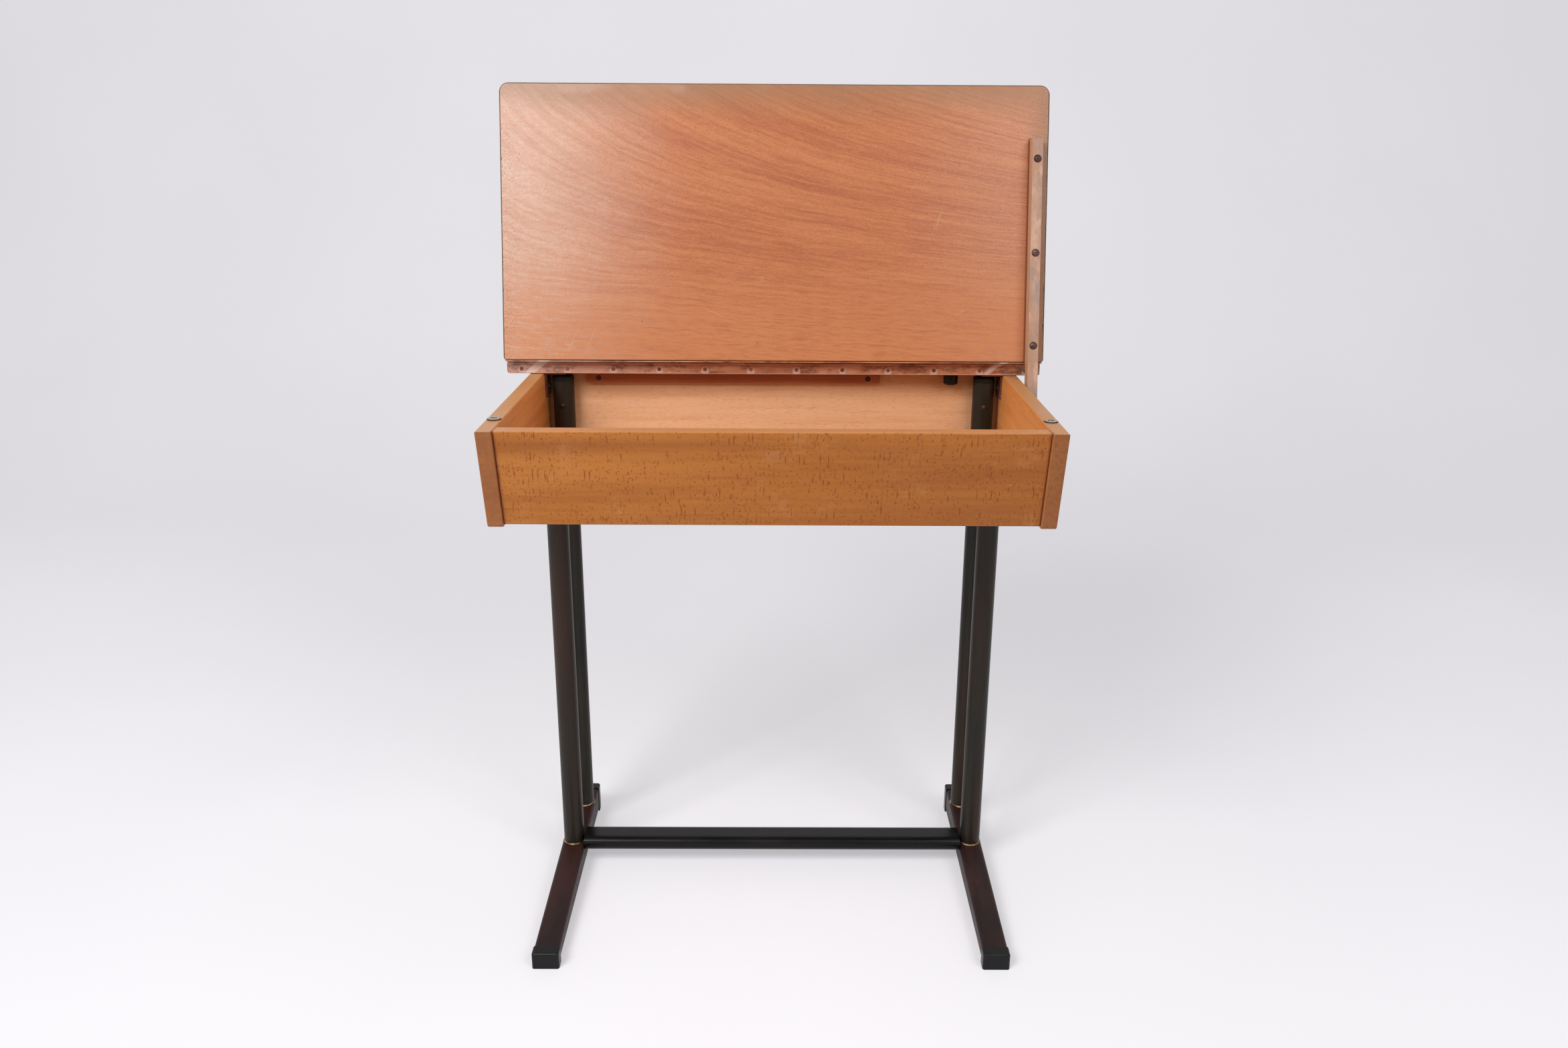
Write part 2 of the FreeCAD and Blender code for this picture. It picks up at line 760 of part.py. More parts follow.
def make_bumpers():
    """The discs on the side panels that the closed lid rests on."""
    recess_floor = "bumper_height - bumper_recess_depth"
    shank = "bumper_screw_shank + hole_play"
    body = turned("lid_bumper", [
        (shank, "0"), ("bumper_radius", "0"), ("bumper_radius", "bumper_height / 2"),
        ("bumper_radius - bumper_height / 2", "bumper_height"),
        ("bumper_recess", "bumper_height"), ("bumper_recess", recess_floor),
        (shank, recess_floor)])
    place = ("half_box - side_thick / 2", "-bumper_setback")
    both_sides(put(body, *place, "rim_height"), "lid_bumpers")
    screw = pan_head_screw("bumper_screw", "bumper_screw")
    both_sides(put(screw, *place, f"rim_height + {recess_floor}"), "bumper_screws")


def make_top_screws():
    """The screws of the brackets and of the batten."""
    screw = pan_head_screw("bracket_screw", "bracket_screw")
    put_sideways(screw, "inside - bracket_thick", "bracket_screw_setback",
                 "rim_height - bracket_screw_drop", -90)
    both_sides(screw, "bracket_screws")
    screw = flat_head_screw("rail_screw", "rail_screw")
    put(screw, "inside - rail_screw_inset", "bracket_screw_setback",
        "rim_height - bracket_thick", "180")
    both_sides(screw, "rail_screws")
    screw = flat_head_screw("batten_screw", "batten_screw")
    repeat(screw, [screw.Tip], "X_Axis", BATTEN_SCREW_SPAN, "2")
    put(screw, BATTEN_SCREW_FIRST, "back_face - batten_thick", "rim_height - batten_screw_drop",
        "90")
    piece(screw, "batten_screws")


# ------------------------------------------------------------------------------ piano hinge

def hinge_leaf(name, side, first_notch, notches):
    """A strip whose edge is curled round the pin, notched where the other leaf has knuckles.

    side is +1 for the rail's leaf and -1 for the lid's. Drawn about the pin, which lies on
    the X axis.
    """
    body = new_body(name)
    curl = new_sketch(body, "YZ_Plane")
    circle(curl, "0", "0", "knuckle_radius")
    circle(curl, "0", "0", "leaf_inner")
    extrude(body, "Pad", curl, "hinge_length")
    strip = new_sketch(body, "YZ_Plane")
    rectangle(strip, f"{side} * leaf_inner", f"{side} * knuckle_radius", "-leaf_height", "0")
    extrude(body, "Pad", strip, "hinge_length")
    seam = new_sketch(body, "YZ_Plane")
    outline(seam, [("0", "0"), (f"{side} * leaf_inner", "0"),
                   (f"{side} * leaf_inner", "leaf_inner * tan(curl_turn * 1 deg)")])
    extrude(body, "Pocket", seam, "2 * hinge_length")
    notch = new_sketch(body, "XZ_Plane")
    half = "(knuckle_pitch + knuckle_gap) / 2"
    centre = f"(({first_notch} + 1 / 2) * knuckle_pitch - hinge_length / 2)"
    rectangle(notch, f"{centre} - {half}", f"{centre} + {half}", "-notch_depth",
              "2 * knuckle_radius")
    hole = extrude(body, "Pocket", notch, "4 * knuckle_radius")
    repeat(body, [hole], "X_Axis", f"2 * knuckle_pitch * ({notches} - 1)", notches)
    inner, outer = f"{side} * leaf_inner", f"{side} * knuckle_radius"
    hole = bore(body, "XY_Plane", "-leaf_screw_span / 2", "-leaf_screw_drop",
                [("0", inner), ("hinge_screw_head + hole_play", inner),
                 ("hinge_screw_head + hole_play - leaf_thick", outer), ("0", outer)])
    repeat(body, [hole], "X_Axis", "leaf_screw_span", "hinge_screw_count")
    return body


def make_hinge():
    leaf = hinge_leaf("rail_hinge_leaf", 1, 1, "(knuckle_count - 1) / 2")
    piece(put(leaf, height="top_height"), "rail_hinge_leaf")
    leaf = hinge_leaf("lid_hinge_leaf", -1, 0, "(knuckle_count + 1) / 2")
    piece(put_on_lid(leaf), "lid_hinge_leaf")
    pin = doc.addObject("Part::Cylinder", "hinge_pin")
    bind(pin, Radius="pin_radius", Height="hinge_length")
    put_sideways(pin, "-hinge_length / 2", "0", "top_height", 90)
    piece(pin, "hinge_pin")
    for label, side in (("rail_hinge_screws", 1), ("lid_hinge_screws", -1)):
        screw = flat_head_screw(label, "hinge_screw")
        repeat(screw, [screw.Tip], "X_Axis", "leaf_screw_span", "hinge_screw_count")
        place = put if side == 1 else put_on_lid
        height = "top_height - leaf_screw_drop" if side == 1 else "-leaf_screw_drop"
        place(screw, "-leaf_screw_span / 2", f"{side} * leaf_inner", height, f"{side} * 90")
        piece(screw, label)


# --------------------------------------------------------------------------------- lid stop

def make_lid_stop():
    """The bar under the lid, its screws, and the peg that its tail meets."""
    body = new_body("lid_stop_bar")
    sketch = new_sketch(body, "YZ_Plane", "stop_bar_centre")
    relieved = "-lid_under - tail_relief"
    outline(sketch, [("-stop_bar_reach", "-stop_face"), ("stop_bar_tail", "-stop_face"),
                     ("stop_bar_tail", relieved), ("knuckle_radius", relieved),
                     ("-knuckle_radius", "-lid_under"), ("-stop_bar_reach", "-lid_under")])
    extrude(body, "Pad", sketch, "stop_bar_width")
    ends = (edge_names(body, "x", y="-stop_bar_reach", z="-stop_face")
            + edge_names(body, "x", y="stop_bar_tail", z="-stop_face"))
    soften(body, "Fillet", "stop_bar_round", ends)
    hole = drill(body, "XY_Plane", "stop_bar_centre", "stop_screw_end - stop_bar_reach",
                 "-stop_face", "stop_screw_shank + hole_play", "2 * stop_bar_depth")
    repeat(body, [hole], "Y_Axis", "stop_screw_span", "stop_screw_count")
    piece(put_on_lid(body), "lid_stop_bar")

    screw, features = round_head_screw("stop_bar_screw", "stop_screw")
    repeat(screw, features, "Y_Axis", "stop_screw_span", "stop_screw_count")
    put_on_lid(screw, "stop_bar_centre", "-stop_screw_first", "-stop_face", "180")
    piece(screw, "stop_bar_screws")

    peg = turned("stop_peg", [
        ("0", "-peg_sunk"), ("peg_radius", "-peg_sunk"), ("peg_radius", "peg_proud - peg_bevel"),
        ("peg_radius - peg_bevel", "peg_proud"), ("0", "peg_proud")])
    put_sideways(peg, "half_box", "peg_setback", "top_height - peg_drop", 90)
    piece(peg, "stop_peg")


# --------------------------------------------------------------------------- feet and legs

def foot_solid(name, inset):
    """The tapered box of the right foot, drawn in by inset on all sides but its ends."""
    body = new_body(name)
    sketch = new_sketch(body, "YZ_Plane", "tube_centre")
    front, rear = f"cap_end - foot_front - {inset}", f"foot_rear - cap_end + {inset}"
    outline(sketch, [(front, f"foot_lift + {inset}"), (rear, f"foot_lift + {inset}"),
                     (rear, f"{foot_top(rear)} - {inset}"),
                     (front, f"{foot_top(front)} - {inset}")])
    extrude(body, "Pad", sketch, f"foot_width - 2 * {inset}")
    side = f"(foot_width / 2 - {inset})"
    heights = (f"foot_lift + {inset}", f"{foot_top('foot_middle')} - {inset}")
    corners = [name for hand in (-1, 1) for height in heights
               for name in edge_at_middle(body, f"tube_centre + {hand} * {side}", "foot_middle",
                                          height)]
    soften(body, "Fillet", f"foot_round - {inset}", corners)
    return put(body)


def foot_cap(end, outer, inner, blank):
    """A plastic shoe over one end of the foot, which stands on the floor."""
    body = new_body(f"foot_cap_{end}")
    sketch = new_sketch(body, "YZ_Plane", "tube_centre")
    outline(sketch, [(outer, "0"), (inner, "0"), (inner, f"{foot_top(inner)} + cap_wall"),
                     (outer, f"{foot_top(outer)} + cap_wall")])
    extrude(body, "Pad", sketch, "foot_width + 2 * cap_wall")
    top = "cap_wall + " + foot_top(outer)
    middle = f"({outer} + {inner}) / 2"
    rounded = edge_names(body, "z", y=outer) + edge_names(body, "x", y=outer, z=top)
    for hand in (-1, 1):
        side = f"tube_centre + {hand} * (foot_width / 2 + cap_wall)"
        rounded += edge_at_middle(body, side, middle, f"cap_wall + {foot_top(middle)}")
    soften(body, "Fillet", "cap_round", rounded)
    left_and_right(cut(put(body), blank, f"foot_cap_{end}"), f"foot_cap_{end}")


def tube_blank(name, setback, low, high):
    """An upright tube of the right leg, before it is fitted to the foot."""
    body = new_body(name)
    sketch = new_sketch(body, "XY_Plane", f"({low} + {high}) / 2")
    circle(sketch, "tube_centre", setback, "tube_radius")
    circle(sketch, "tube_centre", setback, "tube_radius - tube_wall")
    extrude(body, "Pad", sketch, f"{high} - ({low})")
    return body


def weld_bead(name, setback, foot):
    """The seam of weld metal round a tube, on the slope of the foot."""
    seam = doc.addObject("Part::Cone", name + "_seam")
    bind(seam, Radius1="tube_radius + bead_radius", Radius2="tube_radius - bead_radius / 4",
         Height="2 * bead_radius")
    put(seam, "tube_centre", setback, f"{foot_top(setback)} - bead_radius", "atan(foot_slope)")
    core = doc.addObject("Part::Cylinder", name + "_core")
    bind(core, Radius="tube_radius", Height="4 * bead_radius")
    put(core, "tube_centre", setback, f"{foot_top(setback)} - 2 * bead_radius")
    return cut(cut(seam, foot, name + "_seat"), core, name)


def make_feet_and_tubes():
    foot = foot_solid("foot_blank", "0")
    left_and_right(cut(foot, foot_solid("foot_core", "foot_wall"), "foot"), "foot")
    foot_cap("front", "-foot_front", "cap_length - foot_front", foot)
    foot_cap("rear", "foot_rear", "foot_rear - cap_length", foot)

    start = "foot_front_height / 2"
    front = tube_blank("front_tube", "front_tube_setback", start, "floor_under - plate_thick")
    left_and_right(cut(put(front), foot, "front_tube"), "front_tube")
    rear = tube_blank("rear_tube", "rear_tube_setback", start, "tube_top")
    drill(rear, "XZ_Plane", "tube_centre", "bolt_height", "rear_tube_setback",
          "bolt_shank + hole_play", "2 * tube_radius")
    left_and_right(cut(put(rear), foot, "rear_tube"), "rear_tube")

    beads = [weld_bead("front_bead", "front_tube_setback", foot),
             weld_bead("rear_bead", "rear_tube_setback", foot)]
    twins = [mirrored(bead, bead.Name + "_twin") for bead in beads]
    group(beads + twins, "weld_beads")


def make_crossbar():
    """A flat-sided oval tube between the feet."""
    body = new_body("crossbar")
    sketch = new_sketch(body, "YZ_Plane")
    centre = "bar_lift + bar_height / 2"
    long_hole(sketch, "front_tube_setback", centre, "bar_width", "bar_height")
    long_hole(sketch, "front_tube_setback", centre, "(bar_width - 2 * bar_wall)",
              "(bar_height - 2 * bar_wall)")
    extrude(body, "Pad", sketch, "2 * foot_inner")
    piece(put(body), "crossbar")


def make_tube_caps():
    lip, plug = "tube_radius + tube_cap_lip", "tube_radius - tube_wall - hole_play"
    body = turned("tube_cap", [
        ("0", "-tube_cap_plug"), (plug, "-tube_cap_plug"), (plug, "0"), (lip, "0"),
        (lip, "tube_cap_height - tube_cap_bevel"), (f"{lip} - tube_cap_bevel", "tube_cap_height"),
        ("0", "tube_cap_height")])
    left_and_right(put(body, "tube_centre", "rear_tube_setback", "tube_top"), "tube_cap")


def make_seat_plates():
    """The plates that carry the floor of the box on the front tubes."""
    body = new_body("seat_plate")
    sketch = new_sketch(body, "XY_Plane", "floor_under - plate_thick / 2")
    rectangle(sketch, "tube_centre - plate_width / 2", "tube_centre + plate_width / 2",
              "front_tube_setback - plate_length / 2", "front_tube_setback + plate_length / 2")
    extrude(body, "Pad", sketch, "plate_thick")
    soften(body, "Fillet", "plate_corner", edge_names(body, "z"))
    hole = drill(body, "XY_Plane", "tube_centre", "front_tube_setback - plate_screw_pitch / 2",
                 "floor_under", "plate_screw_shank + hole_play", "2 * plate_thick")
    repeat(body, [hole], "Y_Axis", "plate_screw_pitch", "2")
    left_and_right(put(body), "seat_plate")
    screw = pan_head_screw("plate_screw", "plate_screw")
    repeat(screw, [screw.Tip], "Y_Axis", "plate_screw_pitch", "2")
    put(screw, "tube_centre", "front_tube_setback + plate_screw_pitch / 2",
        "floor_under - plate_thick", "180")
    both_sides(screw, "seat_plate_screws")


def make_bolts():
    """The bolt, washer and nut that hold each rear tube to the back panel."""
    bolt = turned("frame_bolt", [
        ("0", "-bolt_length"), ("bolt_shank", "-bolt_length"), ("bolt_shank", "0"),
        ("bolt_head", "0"), ("0", "bolt_rise")], {3: ("x", "0")})
    both_sides(put(bolt, "tube_centre", "bolt_seat", "bolt_height", "90"), "frame_bolts")
    hole = "bolt_shank + hole_play"
    washer = turned("frame_washer", [
        (hole, "0"), ("washer_radius", "0"), ("washer_radius", "washer_thick"),
        (hole, "washer_thick")])
    both_sides(put(washer, "tube_centre", "back_end", "bolt_height", "-90"), "frame_washers")
    hexagon = doc.addObject("Part::Prism", "frame_nut_hexagon")
    hexagon.Polygon = 6
    bind(hexagon, Circumradius="nut_radius", Height="nut_height")
    thread = doc.addObject("Part::Cylinder", "frame_nut_bore")
    bind(thread, Radius=hole, Height="nut_height")
    for solid in (hexagon, thread):
        put(solid, "tube_centre", "back_end + washer_thick", "bolt_height", "-90")
    both_sides(cut(hexagon, thread, "frame_nut"), "frame_nuts")


# ------------------------------------------------------------------------------------ build

def check_and_write():
    doc.recompute()
    for thing in doc.Objects:
        if {"Invalid", "Error"} & set(thing.State):
            raise RuntimeError(f"{thing.Label} failed: {thing.State}")
    os.makedirs("parts", exist_ok=True)
    for thing in PIECES:
        shape = thing.Shape
        if shape.isNull() or not shape.isValid() or not shape.Solids:
            raise RuntimeError(f"{thing.Label} has no valid solid")
        shape.exportStep(f"parts/{thing.Label}.step")
        print(f"{thing.Label}: {len(shape.Solids)} solids, {shape.Volume / 1000:.2f} cm3")


make_sides()
make_front_panel()
make_back_panel()
make_floor_panel()
make_rail()
make_lid()
make_batten()
make_plug()
make_brackets()
make_bumpers()
make_top_screws()
make_hinge()
make_lid_stop()
make_feet_and_tubes()
make_crossbar()
make_tube_caps()
make_seat_plates()
make_bolts()
check_and_write()
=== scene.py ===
import json
import math
import bpy
from mathutils import Matrix, Vector


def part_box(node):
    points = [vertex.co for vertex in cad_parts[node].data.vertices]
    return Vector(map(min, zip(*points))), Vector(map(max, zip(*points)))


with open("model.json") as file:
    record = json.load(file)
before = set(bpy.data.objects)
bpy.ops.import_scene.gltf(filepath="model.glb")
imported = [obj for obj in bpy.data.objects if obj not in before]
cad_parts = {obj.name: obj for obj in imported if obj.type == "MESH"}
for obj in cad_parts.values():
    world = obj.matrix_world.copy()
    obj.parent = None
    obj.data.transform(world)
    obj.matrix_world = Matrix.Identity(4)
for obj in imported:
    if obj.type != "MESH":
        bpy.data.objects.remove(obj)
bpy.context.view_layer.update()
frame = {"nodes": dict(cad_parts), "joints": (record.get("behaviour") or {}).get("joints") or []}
nodes = frame["nodes"]
hinge = frame["joints"][0]

# Places that the looks are drawn from, in metres, most of them read from the frame.
# Lengths on the lid are measured along it from the hinge line.
HINGE_Y, HINGE_Z = hinge["pos_m"][1:]
LID_OPENING = math.radians(102.5)
LID_LEAN = LID_OPENING - math.pi / 2
LID_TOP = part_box("lid_panel")[1]
LID_DEPTH = (LID_TOP.z - HINGE_Z) / math.cos(LID_LEAN)
HALF_TOP = LID_TOP.x
RIM_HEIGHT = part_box("side_panel_left")[1].z
BOARD = HINGE_Z - RIM_HEIGHT
PLIES = 3.5
CORNER_RADIUS = 0.012
PANEL_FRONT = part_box("front_panel")[0].y
FRONT_SLANT = 0.254
BAR_LOW, BAR_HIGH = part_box("lid_stop_bar")
BAR_SIDE = BAR_LOW.x
BAR_TOP = (BAR_HIGH.z - HINGE_Z) / math.cos(LID_LEAN)
SCREW_LOW, SCREW_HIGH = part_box("rail_hinge_screws")
SCREW_COUNT = 12
SCREW_HEIGHT = (SCREW_LOW.z + SCREW_HIGH.z) / 2
SCREW_HEAD = SCREW_HIGH.z - SCREW_LOW.z
SCREW_PITCH = (SCREW_HIGH.x - SCREW_LOW.x - SCREW_HEAD) / (SCREW_COUNT - 1)


# ----------------------------------------------------------------------- material building

def paint(red, green, blue):
    """A colour from its 0 to 255 screen values."""
    def linear(value):
        share = value / 255
        return share / 12.92 if share <= 0.04045 else ((share + 0.055) / 1.055) ** 2.4
    return (linear(red), linear(green), linear(blue), 1)


class Graph:
    """The node tree of one material, or of the world where one is given."""

    def __init__(self, name, world=None):
        self.owner = world or bpy.data.materials.new(name)
        self.owner.use_nodes = True
        self.tree = self.owner.node_tree
        self.tree.nodes.clear()

    def add(self, kind, inputs, **settings):
        node = self.tree.nodes.new("ShaderNode" + kind)
        for name, value in settings.items():
            setattr(node, name, value)
        for name, value in inputs.items():
            if isinstance(value, bpy.types.NodeSocket):
                self.tree.links.new(value, node.inputs[name])
            else:
                node.inputs[name].default_value = value
        return node

    def place(self, turn=0.0, origin=(0, 0, 0)):
        """The point of the object, seen from an origin and turned about X."""
        point = self.add("TexCoord", {}).outputs["Object"]
        moved = self.add("VectorMath", {0: point, 1: origin}, operation="SUBTRACT").outputs[0]
        return self.turned(moved, turn)

    def turned(self, vector, turn):
        if not turn:
            return vector
        return self.add("VectorRotate", {"Vector": vector, "Angle": turn},
                        rotation_type="X_AXIS").outputs[0]

    def facing(self, turn=0.0):
        """The surface's own normal, turned about X."""
        return self.turned(self.add("TexCoord", {}).outputs["Normal"], turn)

    def axes(self, vector):
        node = self.add("SeparateXYZ", {0: vector})
        return node.outputs[0], node.outputs[1], node.outputs[2]

    def vector(self, x, y, z):
        return self.add("CombineXYZ", {0: x, 1: y, 2: z}).outputs[0]

    def scaled(self, vector, factors):
        return self.add("VectorMath", {0: vector, 1: factors}, operation="MULTIPLY").outputs[0]

    def length(self, vector):
        return self.add("VectorMath", {0: vector}, operation="LENGTH").outputs["Value"]

    def calc(self, operation, first, second=0.0, third=0.0):
        return self.add("Math", {0: first, 1: second, 2: third}, operation=operation).outputs[0]

    def times(self, first, second):
        return self.calc("MULTIPLY", first, second)

    def noise(self, vector, scale=1.0, detail=4.0, roughness=0.5, distortion=0.0):
        return self.add("TexNoise", {"Vector": vector, "Scale": scale, "Detail": detail,
                                     "Roughness": roughness, "Distortion": distortion}).outputs[0]

    def span(self, value, low, high, start=0.0, end=1.0):
        """Maps low to start and high to end, held there beyond them, with a soft change."""
        return self.add("MapRange", {0: value, 1: low, 2: high, 3: start, 4: end},
                        interpolation_type="SMOOTHSTEP").outputs[0]

    def blend(self, share, first, second):
        node = self.add("Mix", {0: share, 6: first, 7: second}, data_type="RGBA")
        return node.outputs[2]

    def layers(self, colour, rows):
        """Lays tones over a colour.

        A row has the value that a tone goes by, the values where it begins and where it is full,
        its share where it is full, and the tone.
        """
        for value, start, full, most, tone in rows:
            colour = self.blend(self.span(value, start, full, 0.0, most), colour, tone)
        return colour

    def ramp(self, share, *stops):
        """A colour from stops, each a place and a colour."""
        node = self.add("ValToRGB", {0: share})
        ramp = node.color_ramp
        while len(ramp.elements) < len(stops):
            ramp.elements.new(0.5)
        for element, (place, colour) in zip(ramp.elements, stops):
            element.position = place
            element.color = colour
        return node.outputs[0]

    def bump(self, height, distance, strength=1.0, normal=None):
        """A relief: distance is the height in metres where the input is 1."""
        inputs = {"Height": height, "Distance": distance, "Strength": strength}
        if normal is not None:
            inputs["Normal"] = normal
        return self.add("Bump", inputs).outputs[0]

    def seen(self):
        """1 for rays that show it to the camera, straight or through gloss or glass, else 0."""
        rays = self.add("LightPath", {}).outputs
        indirect = self.calc("MAXIMUM", rays["Is Glossy Ray"], rays["Is Transmission Ray"])
        return self.calc("MAXIMUM", rays["Is Camera Ray"], indirect)

    def finish(self, colour, roughness, normal=None, **settings):
        """Closes the tree with the surface shader. Settings name sockets, _ for a space."""
        inputs = {"Base Color": colour, "Roughness": roughness}
        if normal is not None:
            inputs["Normal"] = normal
        inputs.update({name.replace("_", " "): value for name, value in settings.items()})
        shader = self.add("BsdfPrincipled", inputs)
        self.add("OutputMaterial", {"Surface": shader.outputs[0]})
        return self.owner


def dress(material, *names):
    """Gives CAD nodes a material."""
    for name in names:
        for slot in nodes[name].material_slots:
            slot.material = material


# --------------------------------------------------------------------------- wear and marks

def scratches(graph, first, second, seed, turns, density):
    """Thin scratches at several angles over a face: 1 on a scratch, 0 beside it."""
    shown = 0.0
    for count, turn in enumerate(turns):
        slope = math.radians(turn)
        along = graph.calc("ADD", graph.times(first, math.cos(slope)),
                           graph.times(second, math.sin(slope)))
        across = graph.calc("SUBTRACT", graph.times(second, math.cos(slope)),
                            graph.times(first, math.sin(slope)))
        line = graph.noise(graph.vector(graph.times(along, 6.0), graph.times(across, 90.0),
                                        seed + count), 1.0, 0.0)
        thin = graph.span(graph.calc("ABSOLUTE", graph.calc("SUBTRACT", line, 0.5)), 0.006, 0.002)
        patch = graph.noise(graph.vector(graph.times(along, 9.0), graph.times(across, 14.0),
                                         seed - count), 1.0, 1.0)
        thin = graph.times(thin, graph.span(patch, 0.72 - density, 0.78 - density))
        shown = graph.calc("MAXIMUM", shown, thin)
    return shown


def marks(graph, first, second, cell, size, seed, share, least=0.35):
    """Spindle-shaped marks over a face, one in some cells of an uneven grid: 1 on a mark.

    cell and size are pairs, along the two axes. share is the part of the cells that has one,
    and least the length of the shortest as a share of the longest.
    """
    point = graph.vector(graph.calc("DIVIDE", first, cell[0]),
                         graph.calc("MULTIPLY_ADD", second, 1 / cell[1], seed), 0.0)
    grid = graph.add("TexVoronoi", {"Vector": point, "Scale": 1.0}, voronoi_dimensions="2D")
    offset = graph.add("VectorMath", {0: point, 1: grid.outputs["Position"]},
                       operation="SUBTRACT").outputs[0]
    offset = graph.scaled(offset, (2 * cell[0] / size[0], 2 * cell[1] / size[1], 0))
    aside, beyond, _ = graph.axes(offset)
    chance, length, strength = graph.axes(grid.outputs["Color"])
    beyond = graph.calc("DIVIDE", beyond, graph.span(length, 0.0, 1.0, least, 1.0))
    reach = graph.length(graph.vector(aside, beyond, 0.0))
    reach = graph.calc("MULTIPLY_ADD", graph.noise(point, 5.0, 2.0), 1.6, reach)
    shape = graph.times(graph.span(reach, 2.0, 1.2), graph.span(strength, 0.0, 0.6, 0.35, 1.0))
    return graph.times(shape, graph.calc("LESS_THAN", chance, share))


# ------------------------------------------------------------------------------------- wood

def figure_level(graph, across, along, leaf, from_left):
    """The height of each grain line of the plywood's face: it is the same all along a line.

    The lines are nearly level low on the board. Above that they fan out and fall to the right,
    most steeply at the upper left.
    """
    fan_start = 0.1
    fan_softness = 0.1
    beyond = graph.calc("SUBTRACT", along, fan_start)
    upper = graph.calc("SMOOTH_MAX", beyond, 0.0, fan_softness)
    fan = graph.calc("POWER", graph.calc("MULTIPLY_ADD", from_left, 5.4, 1.0), 0.82)
    level = graph.calc("SUBTRACT", beyond, upper)
    level = graph.calc("MULTIPLY_ADD", upper, graph.times(fan, 1 / 2.2), level)
    level = graph.calc("MULTIPLY_ADD", from_left, 0.06, level)
    for scale, reach in ((7.0, 0.014), (42.0, 0.004)):
        wander = graph.noise(graph.vector(across, along, leaf), scale, 2.0)
        level = graph.calc("MULTIPLY_ADD", wander, reach, level)
    return level


